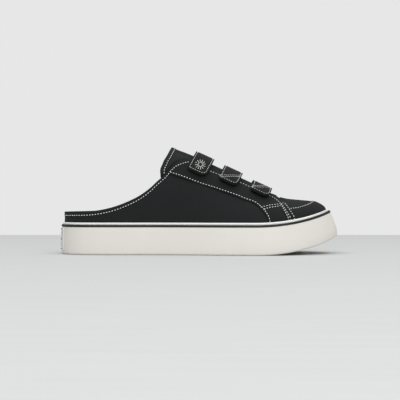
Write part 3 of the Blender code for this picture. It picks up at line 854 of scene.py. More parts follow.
# Making meshes
def make_piece(name, places, faces, materials, face_materials=None, cloth=None):
    mesh = bpy.data.meshes.new(name)
    mesh.from_pydata((np.asarray(places) + SHIFT).tolist(), [], [list(face) for face in faces])
    for material in materials:
        mesh.materials.append(material)
    if face_materials is not None:
        mesh.polygons.foreach_set("material_index", np.asarray(face_materials, np.int32))
    if cloth is not None:
        layer = mesh.uv_layers.new(name="cloth")
        corners = np.empty(len(mesh.loops), np.int32)
        mesh.loops.foreach_get("vertex_index", corners)
        layer.data.foreach_set("uv", np.asarray(cloth, np.float32)[corners].ravel())
    mesh.shade_smooth()
    mesh.update()
    made = bpy.data.objects.new(name, mesh)
    bpy.context.scene.collection.objects.link(made)
    return made


def open_edges(quads):
    """Edges that only one face has, in the direction of that face."""
    edges = set()
    for quad in quads:
        for spot in range(len(quad)):
            edges.add((quad[spot - 1], quad[spot]))
    return [edge for edge in edges if (edge[1], edge[0]) not in edges]


def thick_piece(name, outer, inner, quads, materials, cloth, rounding, lined=False):
    """Closed sheet between two faces, with its rim rounded by a bevel."""
    quads = [tuple(n for i, n in enumerate(quad) if n != quad[i - 1]) for quad in quads]
    count = len(outer)
    rim = open_edges(quads)
    faces = list(quads)
    faces += [tuple(count + n for n in reversed(quad)) for quad in quads]
    faces += [(end, start, count + start, count + end) for start, end in rim]
    kinds = None
    if lined:
        kinds = [0] * len(quads) + [1] * len(quads) + [0] * len(rim)
    made = make_piece(name, np.concatenate([outer, inner]), faces, materials, kinds,
                      np.concatenate([cloth, cloth]))
    sharp = {tuple(sorted(edge)) for edge in rim}
    sharp |= {(count + low, count + high) for low, high in sharp}
    weights = made.data.attributes.new("bevel_weight_edge", "FLOAT", "EDGE")
    flags = [1.0 if tuple(sorted(edge.vertices)) in sharp else 0.0 for edge in made.data.edges]
    weights.data.foreach_set("value", flags)
    bevel = made.modifiers.new("rounded rim", "BEVEL")
    bevel.limit_method = "WEIGHT"
    bevel.width = rounding
    bevel.segments = 3
    return made


def grid_quads(rows, columns, wrap_rows=False):
    """Faces of a grid whose rows run along and whose columns run up."""
    quads = []
    for row in range(rows if wrap_rows else rows - 1):
        after = (row + 1) % rows
        for column in range(columns - 1):
            quads.append((row * columns + column, after * columns + column,
                          after * columns + column + 1, row * columns + column + 1))
    return quads


def run_lengths(places, axis):
    """Distance run along one axis of a grid of places."""
    step = np.linalg.norm(np.diff(places, axis=axis), axis=-1)
    start = np.zeros_like(np.take(step, [0], axis=axis))
    return np.concatenate([start, np.cumsum(step, axis=axis)], axis=axis)


def grid_cloth(places):
    """Cloth coordinates of a grid, in metres along and up."""
    return np.stack([run_lengths(places, 0), run_lengths(places, 1)], axis=-1).reshape(-1, 2)


def finished(piece, nodes):
    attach(piece, "root")
    if nodes:
        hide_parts(*nodes)
    return piece


def grid_sheet(name, turn, climb, low, high, materials, rounding, flip=False, lined=False):
    """Sheet on the skin over a grid of turns and climbs, between two lifts."""
    outer = over_skin(turn, climb, high)
    inner = over_skin(turn, climb, low)
    rows, columns = turn.shape
    quads = grid_quads(rows, columns)
    if flip:
        quads = [tuple(reversed(quad)) for quad in quads]
    return thick_piece(name, outer.reshape(-1, 3), inner.reshape(-1, 3), quads, materials,
                       grid_cloth(outer), rounding, lined)


# Upper shell
def even_angles(count):
    share = np.linspace(0.0, 1.0, count + 1)
    return math.pi * share + STATION_SPREAD * np.sin(FULL_TURN * share)


def canvas_lift(place, to_edge):
    """Soft give of the cloth: a turned hem at the edge and shallow waves."""
    x = place[..., 0] / SHOE_LENGTH
    hem = HEM_HEIGHT * (1.0 - smooth_step(COLLAR_HEM, COLLAR_HEM + 0.9 * MM, to_edge))
    fold = FOLD_HEIGHT * np.sin(x * 46.0 + place[..., 2] * 40.0) * smooth_step(0.25, 0.5, x)
    fold *= 1.0 - smooth_step(0.66, 0.8, x)
    return hem + fold


def build_upper(stations=150, low_rows=5, side_rows=34, vamp_rows=18):
    angles = even_angles(stations)
    throat = int(np.argmin(np.abs(angles - THROAT_ANGLE)))
    angles[throat] = THROAT_ANGLE
    ring = 2 * stations
    turns = np.concatenate([angles, FULL_TURN - angles[-2:0:-1]])
    tuck = tuck_climb(turns)
    edge = edge_climb(turns)
    side = np.minimum(np.arange(ring), ring - np.arange(ring))
    share = (edge[throat] - tuck[throat]) / (1.0 - tuck[throat])
    edge = np.where(side > throat, tuck + (1.0 - tuck) * share, edge)
    bands = [np.linspace(0.0, 1.0, low_rows + 1)[None, :] * tuck[:, None],
             tuck[:, None] + np.linspace(0.0, 1.0, side_rows + 1)[None, 1:]
             * (edge - tuck)[:, None],
             edge[:, None] + np.linspace(0.0, 1.0, vamp_rows + 1)[None, 1:]
             * (1.0 - edge)[:, None]]
    climb = np.concatenate(bands, axis=1)
    columns = climb.shape[1]
    edge_row = low_rows + side_rows
    grid_turn = np.repeat(turns[:, None], columns, axis=1)
    base = skin(grid_turn, climb)
    run = run_lengths(base, 1)
    to_edge = run[:, [edge_row]] - run
    to_edge = np.where((side > throat)[:, None], 1.0, to_edge)
    lift = canvas_lift(base, np.abs(to_edge))
    outer = over_skin(grid_turn, climb, lift)
    inner = over_skin(grid_turn, climb, np.full(climb.shape, -UPPER_WALL))
    number = np.arange(ring * columns).reshape(ring, columns)
    number[:, -1] = number[side, -1]
    quads = []
    for row in range(ring):
        after = (row + 1) % ring
        past = min(side[row], side[after]) >= throat
        for column in range(columns - 1 if past else edge_row):
            quads.append((number[row, column], number[after, column],
                          number[after, column + 1], number[row, column + 1]))
    used = np.unique(np.array(quads))
    order = np.full(ring * columns, -1)
    order[used] = np.arange(len(used))
    quads = [tuple(int(order[n]) for n in quad) for quad in quads]
    cloth = grid_cloth(base)[used]
    return thick_piece("canvas_upper", outer.reshape(-1, 3)[used], inner.reshape(-1, 3)[used],
                       quads, [CANVAS, LINING], cloth, 0.9 * MM, lined=True)


# Facings, toe cap and band
def coons(left, right, bottom, top):
    """Grid between four edges that share their corners: left and right run up."""
    a = np.linspace(0.0, 1.0, len(bottom))[:, None, None]
    b = np.linspace(0.0, 1.0, len(left))[None, :, None]
    side = (1.0 - a) * left[None] + a * right[None]
    level = (1.0 - b) * bottom[:, None] + b * top[:, None]
    corner = ((1.0 - a) * (1.0 - b) * left[0] + a * (1.0 - b) * right[0]
              + (1.0 - a) * b * left[-1] + a * b * right[-1])
    return side + level - corner


def resample(path, count):
    run = run_lengths(path, 0)
    wanted = np.linspace(0.0, run[-1], count)
    return np.stack([np.interp(wanted, run, path[:, n]) for n in range(path.shape[1])], axis=-1)


def overlay_lift(turn, climb, thickness):
    """Lift of an overlay's face, pressed thinner where the sidewall laps over its foot."""
    place = skin(turn, climb)
    height = place[..., 2] - spring_height(place[..., 0])
    pressed = 1.0 - smooth_step(SIDEWALL_HEIGHT, SIDEWALL_HEIGHT + 3.0 * MM, height)
    return thickness * (1.0 - 0.65 * pressed)


def build_facing(name, inner_side, node):
    rows_up = 14
    rows_drop = 12
    start = float(on_side([FACING_START_SHARE], [FACING_START_RISE])[0][0])
    drop_angle, drop_climb = on_side(*table_points(FACING_DROP, 24))
    back = np.linspace(start, drop_angle[0], 70)
    low = climb_to_line(mirrored(back, inner_side), FACING_LINE)
    high = edge_climb(mirrored(back, inner_side)) - FACING_EDGE_GAP
    low = np.minimum(low, high - FACING_LEAST_RISE)
    share = np.linspace(0.0, 1.0, rows_up + 1)
    first_turn = np.repeat(back[:, None], rows_up + 1, axis=1)
    first_climb = low[:, None] + (high - low)[:, None] * share[None, :]

    nose_angle, nose_climb = on_side(*table_points(FACING_NOSE, 40))
    nose = np.stack([nose_angle, nose_climb], axis=-1)[::-1]
    drop = np.stack([drop_angle, drop_climb], axis=-1)[::-1]
    left = np.concatenate([resample(drop, rows_drop + 1)[:-1],
                           np.stack([first_turn[-1], first_climb[-1]], axis=-1)])
    right = resample(nose, rows_drop + rows_up + 1)
    columns = 22
    bottom = np.linspace(left[0], right[0], columns)
    top = np.linspace(left[-1], right[-1], columns)
    top[:, 1] = edge_climb(mirrored(top[:, 0], inner_side)) - FACING_EDGE_GAP
    top[0] = left[-1]
    fade = np.linspace(0.0, 1.0, columns)[:, None] ** 3
    top = top * (1.0 - fade) + np.linspace(top[0], right[-1], columns) * fade
    bottom[:, 1] = tuck_climb(mirrored(bottom[:, 0], inner_side), -1.0 * MM)
    left[0] = bottom[0]
    right[0] = bottom[-1]
    front = coons(left, right, bottom, top)

    flat_turn = np.concatenate([first_turn.ravel(), front[..., 0].ravel()])
    flat_climb = np.concatenate([first_climb.ravel(), front[..., 1].ravel()])
    turn = mirrored(flat_turn, inner_side)
    outer = over_skin(turn, flat_climb, overlay_lift(turn, flat_climb, OVERLAY_THICKNESS))
    inner = over_skin(turn, flat_climb, np.full(turn.shape, -OVERLAY_SEAT))
    offset = first_turn.size
    quads = grid_quads(len(back), rows_up + 1)
    tall = rows_drop + rows_up + 1
    seam = {offset + rows_drop + n: (len(back) - 1) * (rows_up + 1) + n
            for n in range(rows_up + 1)}
    for quad in grid_quads(columns, tall):
        quads.append(tuple(seam.get(offset + n, offset + n) for n in quad))
    if inner_side:
        quads = [tuple(reversed(quad)) for quad in quads]
    cloth = outer[:, [0, 2]]
    made = thick_piece(name, outer, inner, quads, [PAINTED_SHADE_CANVAS], cloth, 0.45 * MM)
    return finished(made, [node])


def build_toe_cap():
    back_angle, back_climb = on_side(*table_points(TOE_CAP_BACK, 16))
    back_angle = back_angle[::-1]
    rows = 16
    columns = 70
    half = []
    for inner_side in (False, True):
        share = np.linspace(0.0, 1.0, columns)[:, None]
        angle = back_angle[None, :] + (math.pi - back_angle[None, :]) * share
        turn = mirrored(angle, inner_side)
        low = tuck_climb(turn, -1.0 * MM)
        high = climb_to_line(turn, TOE_CAP_LINE)
        climb = low + (high - low) * np.linspace(0.0, 1.0, rows)[None, :]
        half.append((turn, climb))
    turn = np.concatenate([half[0][0], half[1][0][-2::-1]])
    climb = np.concatenate([half[0][1], half[1][1][-2::-1]])
    # The toe cap takes the darker canvas: painted shade against the overhead light on its up-facing
    # top.
    made = grid_sheet("toe_cap_canvas", turn, climb, np.full(turn.shape, -OVERLAY_SEAT),
                      overlay_lift(turn, climb, TOE_CAP_THICKNESS), [PAINTED_SHADE_CANVAS], 0.35 * MM)
    return finished(made, ["toe_cap"])


def build_band(name, inner_side):
    rows = 18
    columns = 9
    back_x, back_rise = table_points(BAND_BACK, rows)
    front_x, front_rise = table_points(BAND_FRONT, rows)
    share = np.linspace(0.0, 1.0, columns)[:, None]
    x = back_x[None] + (front_x - back_x)[None] * share
    rise = back_rise[None] + (front_rise - back_rise)[None] * share
    crown = 0.035 * np.sqrt(np.clip(1.0 - (2.0 * share - 1.0) ** 2, 0.0, 1.0))
    rise = rise + crown * np.linspace(1.0, 0.0, rows)[None, :] ** 3
    angle, climb = on_side(x[:, ::-1], rise[:, ::-1])
    turn = mirrored(angle, inner_side)
    made = grid_sheet(name, turn, climb, np.full(turn.shape, 0.2 * MM),
                      overlay_lift(turn, climb, OVERLAY_THICKNESS + BAND_THICKNESS), [PAINTED_SHADE_CANVAS],
                      0.35 * MM, flip=inner_side)
    return finished(made, [])


# Tongue
def tongue_side_climb(inner_side):
    turn = mirrored(spine_angle(np.array([THROAT_BACK])), inner_side)
    return float(climb_to_throat(turn)[0]) * TONGUE_SIDE_SHARE


def tongue_rim_share(climb, inner_side):
    share = np.full(climb.shape, TONGUE_RIM[-1][1])
    for _ in range(6):
        place = skin(mirrored(plan_angle(share), inner_side), climb)
        rise = (place[..., 2] - SIDEWALL_HEIGHT) / COLLAR_RISE
        share = np.minimum(TONGUE_RIM[-1][1], curve(TONGUE_RIM, 1, rise))
    return share


def tongue_lift(turn, climb, outer):
    """Height over the skin: low under the upper, flush beside its edge, fullest on the ridge."""
    place = skin(turn, climb)
    x = place[..., 0] / SHOE_LENGTH
    fade = 1.0 - smooth_step(BULGE_FADE_START, BULGE_FADE_END, x)
    off_ridge = np.abs(place[..., 1] - ridge_point(x)[..., 1])
    swell = np.cos(0.5 * math.pi * np.minimum(1.0, off_ridge / TONGUE_BULGE_HALF_WIDTH)) ** 2
    edge = edge_climb(turn)
    bare = np.linalg.norm(place - skin(turn, edge), axis=-1) * (climb > edge)
    flush = TONGUE_FLUSH * smooth_step(0.2 * MM, 2.4 * MM, bare)
    base = -(UPPER_WALL + TONGUE_CLEARANCE)
    if outer:
        return base + fade * np.maximum(TONGUE_BULGE * swell, flush)
    swell = swell * TONGUE_BULGE_UNDERSIDE
    return base - TONGUE_THICKNESS + fade * np.maximum(TONGUE_BULGE * swell, flush)


def tongue_grid(along, rows):
    """Turns and climbs of the tongue, outer side first, from rim to front."""
    turns = []
    climbs = []
    for inner_side in (False, True):
        low = tongue_side_climb(inner_side)
        across = np.linspace(0.0, 1.0, rows + 1)
        climb = low + (1.0 - low) * across ** 0.85
        rim = tongue_rim_share(climb, inner_side)
        share = rim[None] + (TONGUE_FRONT - rim[None]) * along[:, None]
        turns.append(mirrored(spine_angle(share), inner_side))
        climbs.append(np.broadcast_to(climb, share.shape))
    turn = np.concatenate([turns[0], turns[1][:, -2::-1]], axis=1)
    climb = np.concatenate([climbs[0], climbs[1][:, -2::-1]], axis=1)
    return turn, climb


def build_tongue():
    along = np.linspace(0.0, 1.0, 110) ** 1.15
    turn, climb = tongue_grid(along, 26)
    place = skin(turn, climb)
    run = run_lengths(place, 0)
    binding = BINDING_HEIGHT * (1.0 - smooth_step(4.6 * MM, 5.4 * MM, run))
    outer_lift = tongue_lift(turn, climb, True) + binding
    inner_lift = tongue_lift(turn, climb, False)
    made = grid_sheet("padded_tongue", turn, climb, inner_lift, outer_lift,
                      [TONGUE_CANVAS, LINING], 1.3 * MM, lined=True)
    return finished(made, ["tongue"])


# Straps
class StrapPath:
    """A strap over the ridge, cut by planes square to the slope of the instep."""

    def __init__(self, share, ridge_lift, end_drop):
        slope = math.radians(STRAP_SLOPE_DEG)
        self.centre = ridge_point(share)
        self.along = np.array([math.cos(slope), 0.0, -math.sin(slope)])
        self.down = np.array([-math.sin(slope), 0.0, -math.cos(slope)])
        self.ridge_lift = ridge_lift
        self.end_drop = end_drop - ridge_lift - STRAP_THICKNESS
        self.ends = {}

    def turn_at(self, across, climb, inner_side):
        def beyond(angle):
            place = skin(mirrored(angle, inner_side), climb)
            return (place - self.centre) @ self.along - across
        low = np.full(np.shape(climb), 0.2 * math.pi)
        high = np.full(np.shape(climb), 0.95 * math.pi)
        return mirrored(find_root(beyond, low, high), inner_side)

    def end_lift(self, inner_side):
        return STRAP_SEAT_LIFT if inner_side else STRAP_END_LIFT

    def corner_cut(self, across):
        from_back = across + 0.5 * STRAP_WIDTH
        from_front = 0.5 * STRAP_WIDTH - across
        cut = np.zeros(np.shape(across))
        for distance, radius in ((from_back, STRAP_BACK_CORNER), (from_front, STRAP_FRONT_CORNER)):
            near = np.clip(radius - distance, 0.0, radius)
            cut += radius - np.sqrt(radius ** 2 - near ** 2)
        return cut

    def end_climb(self, across, inner_side):
        reach = STRAP_INNER_REACH if inner_side else self.end_drop
        drop = reach - self.corner_cut(across)
        lift = np.full(np.shape(across), STRAP_THICKNESS + self.end_lift(inner_side))

        def short_of_end(climb):
            turn = self.turn_at(across, climb, inner_side)
            return drop - (over_skin(turn, climb, lift) - self.centre) @ self.down
        low = np.full(np.shape(across), 0.2)
        return find_root(short_of_end, low, low * 0.0 + 0.999, 20)

    def grid(self, across, share, inner_side):
        """Turn, climb and underside lift; share is 0 on the ridge and 1 at the end."""
        across, share = np.asarray(across, float), np.asarray(share, float)
        key = (across.tobytes(), inner_side)
        if key not in self.ends:
            self.ends[key] = self.end_climb(across, inner_side)
        climb = 1.0 + (self.ends[key] - 1.0) * share
        turn = self.turn_at(across, climb, inner_side)
        rise = (self.end_lift(inner_side) - self.ridge_lift) * smooth_step(0.0, 1.0, share)
        return turn, climb, np.broadcast_to(self.ridge_lift + rise, climb.shape)


def strap_columns(count):
    """Places across the strap, closer together near its edges."""
    share = np.linspace(0.0, 1.0, count)
    return (share - 0.08 * np.sin(FULL_TURN * share) - 0.5) * STRAP_WIDTH


def strap_sheet(path, across, share_from, share_to, rows):
    """Grid across the strap and along it, from an inner share (below 0) to an outer one."""
    signed = np.linspace(share_from, share_to, rows)
    halves = []
    if share_from < 0.0:
        inner = np.abs(signed[signed < 0.0])[None, :]
        halves.append(path.grid(across[:, None], inner, True))
    halves.append(path.grid(across[:, None], signed[signed >= 0.0][None, :], False))
    return [np.concatenate([half[n] for half in halves], axis=1) for n in range(3)]


def build_strap(name, path):
    across = strap_columns(26)
    turn, climb, lift = strap_sheet(path, across, -1.0, 1.0, 64)
    edge = np.minimum(np.abs(across + 0.5 * STRAP_WIDTH), np.abs(across - 0.5 * STRAP_WIDTH))
    pinch = 0.45 * MM * np.exp(-((edge - STRAP_STITCH_INSET) / (0.6 * MM)) ** 2)
    top = lift + STRAP_THICKNESS - pinch[:, None]
    outer = over_skin(turn, climb, top)
    inner = over_skin(turn, climb, lift)
    quads = grid_quads(*turn.shape)
    quads = [tuple(reversed(quad)) for quad in quads]
    made = thick_piece("strap_" + name + "_cloth", outer.reshape(-1, 3), inner.reshape(-1, 3),
                       quads, [STRAP_LOOP], grid_cloth(outer), 0.95 * MM)
    return finished(made, ["strap_" + name])


def build_hook_pad(name, path):
    across = strap_columns(12) * HOOK_TAPE_WIDTH_SHARE
    turn, climb, lift = strap_sheet(path, across, HOOK_TAPE_START, HOOK_TAPE_END, 18)
    low = np.full(turn.shape, OVERLAY_THICKNESS - 0.1 * MM)
    made = grid_sheet("hook_tape_" + name, turn, climb, low, lift + 0.1 * MM, [HOOK_TAPE],
                      0.3 * MM, flip=True)
    return finished(made, ["hook_pad_" + name])


# Sole
def sole_point(plan, height):
    made = np.array(plan, float)
    made[..., 2] = spring_height(made[..., 0]) + height
    return made


def skin_plan(turn, height, lift):
    place = skin(turn, climb_to_height(turn, height))
    return place + outline_normal(turn) * lift


def sidewall_face(turn, height, lift=0.0):
    top_height = SIDEWALL_HEIGHT - STRIPE_BELOW_TOP
    lean = max(0.0, height - STRAIGHT_WALL_HEIGHT) / (top_height - STRAIGHT_WALL_HEIGHT)
    top = skin_plan(turn, top_height, SIDEWALL_THICKNESS)
    base = outline(turn)
    face = base + (top - base) * lean ** WALL_LEAN_POWER
    return sole_point(face, height) + outline_normal(turn) * lift


def swept_ring(name, profiles, materials, rim_start=None):
    """Closed solid swept round the shoe; the second material starts at a profile point."""
    rings = np.stack(profiles, axis=1)
    stations, size, _ = rings.shape
    quads = []
    for station in range(stations):
        after = (station + 1) % stations
        for spot in range(size):
            beyond = (spot + 1) % size
            quads.append((station * size + spot, after * size + spot,
                          after * size + beyond, station * size + beyond))
    cloth = rings.reshape(-1, 3)[:, [0, 2]]
    kinds = None
    if rim_start is not None:
        kinds = [int(rim_start <= face % size < size - 1) for face in range(len(quads))]
    return make_piece(name, rings.reshape(-1, 3), quads, materials, kinds, cloth)


def ring_turns(stations):
    angles = even_angles(stations)
    return np.concatenate([angles, FULL_TURN - angles[-2:0:-1]])


def build_sidewall():
    turn = ring_turns(180)
    stripe_low = SIDEWALL_HEIGHT - STRIPE_BELOW_TOP - STRIPE_HEIGHT
    normal = outline_normal(turn)
    inner = feather(turn) + normal * 0.3 * MM
    profile = [sole_point(inner, 0.0)]
    for step in range(5):
        swing = 0.5 * math.pi * step / 4.0
        profile.append(sidewall_face(turn, SOLE_EDGE_RADIUS * (1.0 - math.cos(swing)),
                                     -SOLE_EDGE_RADIUS * (1.0 - math.sin(swing))))
    heights = np.linspace(2.6 * MM, stripe_low - 0.6 * MM, 12)
    for height in heights:
        profile.append(sidewall_face(turn, float(height)))
    profile.append(sidewall_face(turn, stripe_low - 0.1 * MM, -0.25 * MM))
    profile.append(sidewall_face(turn, stripe_low + 0.2 * MM, -GROOVE_DEPTH))
    profile.append(sidewall_face(turn, stripe_low + STRIPE_HEIGHT, -GROOVE_DEPTH))
    rim_low = stripe_low + STRIPE_HEIGHT + 0.1 * MM
    crown = 0.5 * (SIDEWALL_HEIGHT - rim_low)
    rim_start = len(profile) - 1
    rim = skin_plan(turn, SIDEWALL_HEIGHT - crown, SIDEWALL_TOP_THICKNESS)
    for step in range(6):
        swing = math.pi * (step / 5.0 - 0.5)
        place = rim - normal * (crown * 0.7 * (1.0 - math.cos(swing)))
        profile.append(sole_point(place, SIDEWALL_HEIGHT - crown + crown * math.sin(swing)))
    profile.append(sole_point(skin_plan(turn, SIDEWALL_HEIGHT, -0.4 * MM),
                              SIDEWALL_HEIGHT - 0.2 * MM))
    profile.append(sole_point(inner, FEATHER_HEIGHT))
    made = swept_ring("rubber_sidewall", profile, [SIDEWALL_RUBBER, RIM_RUBBER], rim_start)
    return finished(made, ["sidewall"])


def build_stripe():
    turn = ring_turns(180)
    low = SIDEWALL_HEIGHT - STRIPE_BELOW_TOP - STRIPE_HEIGHT
    middle = low + 0.5 * STRIPE_HEIGHT
    profile = [sidewall_face(turn, low, -0.8 * MM)]
    for step in range(7):
        swing = math.pi * (step / 6.0 - 0.5)
        soft = math.copysign(abs(math.sin(swing)) ** 0.7, math.sin(swing))
        bulge = STRIPE_PROUD - 0.45 * MM * (1.0 - math.cos(swing) ** 0.7)
        profile.append(sidewall_face(turn, middle + 0.5 * STRIPE_HEIGHT * soft, bulge))
    profile.append(sidewall_face(turn, low + STRIPE_HEIGHT, -0.8 * MM))
    made = swept_ring("rubber_stripe", profile, [STRIPE_RUBBER])
    return finished(made, ["sidewall_stripe"])


def tread_depth(x, y):
    """Depth of the grooves in the tread: a low zigzag block pattern inside a plain border."""
    zigzag = np.abs(np.mod(y / TREAD_ZIGZAG, 1.0) - 0.5) * TREAD_ZIGZAG
    groove = np.abs(np.mod((x + zigzag) / TREAD_PITCH, 1.0) - 0.5) * 2.0
    return TREAD_DEPTH * smooth_step(0.55, 0.80, groove)


def build_outsole():
    rows = 360
    columns = 96
    angle = even_angles(rows)
    across = np.linspace(0.0, 1.0, columns)
    outer_edge = feather(angle)
    inner_edge = feather(FULL_TURN - angle)
    plan = outer_edge[:, None] + (inner_edge - outer_edge)[:, None] * across[None, :, None]
    width = np.linalg.norm(inner_edge - outer_edge, axis=-1)[:, None]
    border = np.minimum(across, 1.0 - across)[None, :] * width
    ends = np.minimum(plan[..., 0], plan[..., 0].max() - plan[..., 0])
    inside = smooth_step(3.0 * MM, 4.0 * MM, np.minimum(border, ends))
    underside = sole_point(plan, 0.0)
    underside[..., 2] += tread_depth(plan[..., 0], plan[..., 1]) * inside
    top = sole_point(plan, FEATHER_HEIGHT - 0.3 * MM)
    count = (rows + 1) * columns
    quads = [tuple(reversed(quad)) for quad in grid_quads(rows + 1, columns)]
    faces = quads + [tuple(count + n for n in reversed(quad)) for quad in quads]
    faces += [(end, start, count + start, count + end) for start, end in open_edges(quads)]
    places = np.concatenate([underside.reshape(-1, 3), top.reshape(-1, 3)])
    made = make_piece("rubber_outsole", places, faces, [TREAD_RUBBER], cloth=places[:, :2])
    mesh_tidy(made)
    return finished(made, ["outsole"])


def mesh_tidy(piece):
    """Merge points that fall together and turn the faces out."""
    shape = bmesh.new()
    shape.from_mesh(piece.data)
    bmesh.ops.remove_doubles(shape, verts=shape.verts, dist=0.02 * MM)
    bmesh.ops.recalc_face_normals(shape, faces=shape.faces)
    shape.to_mesh(piece.data)
    shape.free()


def build_insole():
    rows = 150
    columns = 40
    angle = even_angles(rows)
    across = np.linspace(0.0, 1.0, columns)
    height = FEATHER_HEIGHT + INSOLE_THICKNESS
    outer_edge = skin_plan(angle, height, -(UPPER_WALL + 0.3 * MM))
    inner_edge = skin_plan(FULL_TURN - angle, height, -(UPPER_WALL + 0.3 * MM))
    plan = outer_edge[:, None] + (inner_edge - outer_edge)[:, None] * across[None, :, None]
    width = np.linalg.norm(inner_edge - outer_edge, axis=-1)[:, None]
    border = np.minimum(across, 1.0 - across)[None, :] * width
    share = plan[..., 0] / SHOE_LENGTH
    cup = 1.8 * MM * (1.0 - smooth_step(0.0, 14.0 * MM, border))
    heel = 1.5 * MM * (1.0 - smooth_step(0.02, 0.10, share))
    top = sole_point(plan, height - 0.6 * MM)
    top[..., 2] += cup * smooth_step(0.0, 1.5 * MM, border + 0.6 * MM) + heel
    low = sole_point(plan, FEATHER_HEIGHT)
    quads = grid_quads(rows + 1, columns)
    size = (rows + 1) * columns
    faces = quads + [tuple(size + n for n in reversed(quad)) for quad in quads]
    faces += [(end, start, size + start, size + end) for start, end in open_edges(quads)]
    places = np.concatenate([top.reshape(-1, 3), low.reshape(-1, 3)])
    made = make_piece("footbed", places, faces, [FOOTBED], cloth=places[:, :2])
    mesh_tidy(made)
    return finished(made, ["insole"])


# Heel label: a plate with a frame line and three plain bars
def label_patch(name, span, heights, low, high, material, rounding):
    turn = np.linspace(span[0], span[1], 28)
    height = np.linspace(heights[0], heights[1], 20)
    outer = np.stack([sidewall_face(turn, float(level), high) for level in height], axis=1)
    inner = np.stack([sidewall_face(turn, float(level), low) for level in height], axis=1)
    return thick_piece(name, outer.reshape(-1, 3), inner.reshape(-1, 3),
                       grid_quads(len(turn), len(height)), [material], grid_cloth(outer), rounding)


def build_label():
    plate = label_patch("label_plate", (-LABEL_HALF_TURN, LABEL_HALF_TURN),
                        (LABEL_BOTTOM, LABEL_TOP), -0.1 * MM, LABEL_PLATE_PROUD, LABEL_RUBBER,
                        0.3 * MM)
    finished(plate, ["heel_label"])
    line = LABEL_FRAME_TURN
    margin = LABEL_FRAME_MARGIN
    thick = LABEL_FRAME_WIDTH
    edge = LABEL_HALF_TURN - LABEL_FRAME_INSET_TURN
    bars = [
        ((-edge, edge), (LABEL_BOTTOM + margin, LABEL_BOTTOM + margin + thick)),
        ((-edge, edge), (LABEL_TOP - margin - thick, LABEL_TOP - margin)),
        ((-edge, -edge + line), (LABEL_BOTTOM + margin, LABEL_TOP - margin)),
        ((edge - line, edge), (LABEL_BOTTOM + margin, LABEL_TOP - margin)),
    ]
    middle = 0.5 * (LABEL_BOTTOM + LABEL_TOP)
    for level, half in LABEL_BARS:
        low = middle + level - 0.5 * LABEL_BAR_HEIGHT
        bars.append(((-half, half), (low, low + LABEL_BAR_HEIGHT)))
    for number, (span, heights) in enumerate(bars):
        made = label_patch("label_line_%d" % (number + 1), span, heights, 0.6 * MM,
                           LABEL_LINE_PROUD, LABEL_INK, 0.1 * MM)
        finished(made, [])


# Stitching
def stitch_tree():
    """Geometry Nodes: a stitch at every pitch along the seams."""
    tree = bpy.data.node_groups.new("stitches along seams", "GeometryNodeTree")
    tree.interface.new_socket("Geometry", in_out="INPUT", socket_type="NodeSocketGeometry")
    for name, value in (("Pitch", STITCH_PITCH), ("Length", STITCH_LENGTH),
                        ("Radius", STITCH_RADIUS)):
        socket = tree.interface.new_socket(name, in_out="INPUT", socket_type="NodeSocketFloat")
        socket.default_value = value
    material = tree.interface.new_socket("Thread", in_out="INPUT",
                                         socket_type="NodeSocketMaterial")
    material.default_value = THREAD
    tree.interface.new_socket("Geometry", in_out="OUTPUT", socket_type="NodeSocketGeometry")

    def node(kind, settings=None, sockets=None):
        made = tree.nodes.new(kind)
        for name, value in (settings or {}).items():
            setattr(made, name, value)
        for name, value in (sockets or {}).items():
            if isinstance(value, bpy.types.NodeSocket):
                tree.links.new(value, made.inputs[name])
            else:
                made.inputs[name].default_value = value
        return made

    given = node("NodeGroupInput").outputs
    seams = node("GeometryNodeMeshToCurve", None, {"Mesh": given["Geometry"]})
    spots = node("GeometryNodeCurveToPoints", {"mode": "LENGTH"},
                 {"Curve": seams.outputs[0], "Length": given["Pitch"]})
    ball = node("GeometryNodeMeshUVSphere", None, {"Segments": 8, "Rings": 7, "Radius": 1.0})
    half = node("ShaderNodeMath", {"operation": "MULTIPLY"}, {0: given["Length"], 1: 0.5})
    size = node("ShaderNodeCombineXYZ", None,
                {"X": given["Radius"], "Y": given["Radius"], "Z": half.outputs[0]})
    thread = node("GeometryNodeTransform", None,
                  {"Geometry": ball.outputs["Mesh"], "Scale": size.outputs[0]})
    placed = node("GeometryNodeInstanceOnPoints", None,
                  {"Points": spots.outputs["Points"], "Instance": thread.outputs[0],
                   "Rotation": spots.outputs["Rotation"]})
    real = node("GeometryNodeRealizeInstances", None, {"Geometry": placed.outputs[0]})
    smooth = node("GeometryNodeSetShadeSmooth", None, {"Geometry": real.outputs[0]})
    painted = node("GeometryNodeSetMaterial", None,
                   {"Geometry": smooth.outputs[0], "Material": given["Thread"]})
    node("NodeGroupOutput", None, {"Geometry": painted.outputs[0]})
    return tree


def plain_mesh(piece):
    """Turn an object with live modifiers into a plain mesh."""
    bpy.context.view_layer.update()
    ready = piece.evaluated_get(bpy.context.evaluated_depsgraph_get())
    mesh = bpy.data.meshes.new_from_object(ready)
    piece.modifiers.clear()
    piece.data = mesh
    return piece


def stitch_piece(name, seams, slot, pitch=STITCH_PITCH, length=STITCH_LENGTH,
                 radius=STITCH_RADIUS):
    places = np.concatenate(seams) + SHIFT
    edges = []
    start = 0
    for seam in seams:
        edges += [(start + n, start + n + 1) for n in range(len(seam) - 1)]
        start += len(seam)
    mesh = bpy.data.meshes.new(name)
    mesh.from_pydata(places.tolist(), edges, [])
    made = bpy.data.objects.new(name, mesh)
    bpy.context.scene.collection.objects.link(made)
    modifier = made.modifiers.new("stitches", "NODES")
    modifier.node_group = STITCH_TREE
    sizes = {"Pitch": pitch, "Length": length, "Radius": radius}
    for socket in STITCH_TREE.interface.items_tree:
        if socket.in_out == "INPUT" and socket.name in sizes:
            modifier[socket.identifier] = sizes[socket.name]
    plain_mesh(made)
    return finished(made, [])


def seam_on_skin(angle, climb, lift, inner_side):
    turn = mirrored(angle, inner_side)
    return over_skin(turn, climb, overlay_lift(turn, climb, lift))


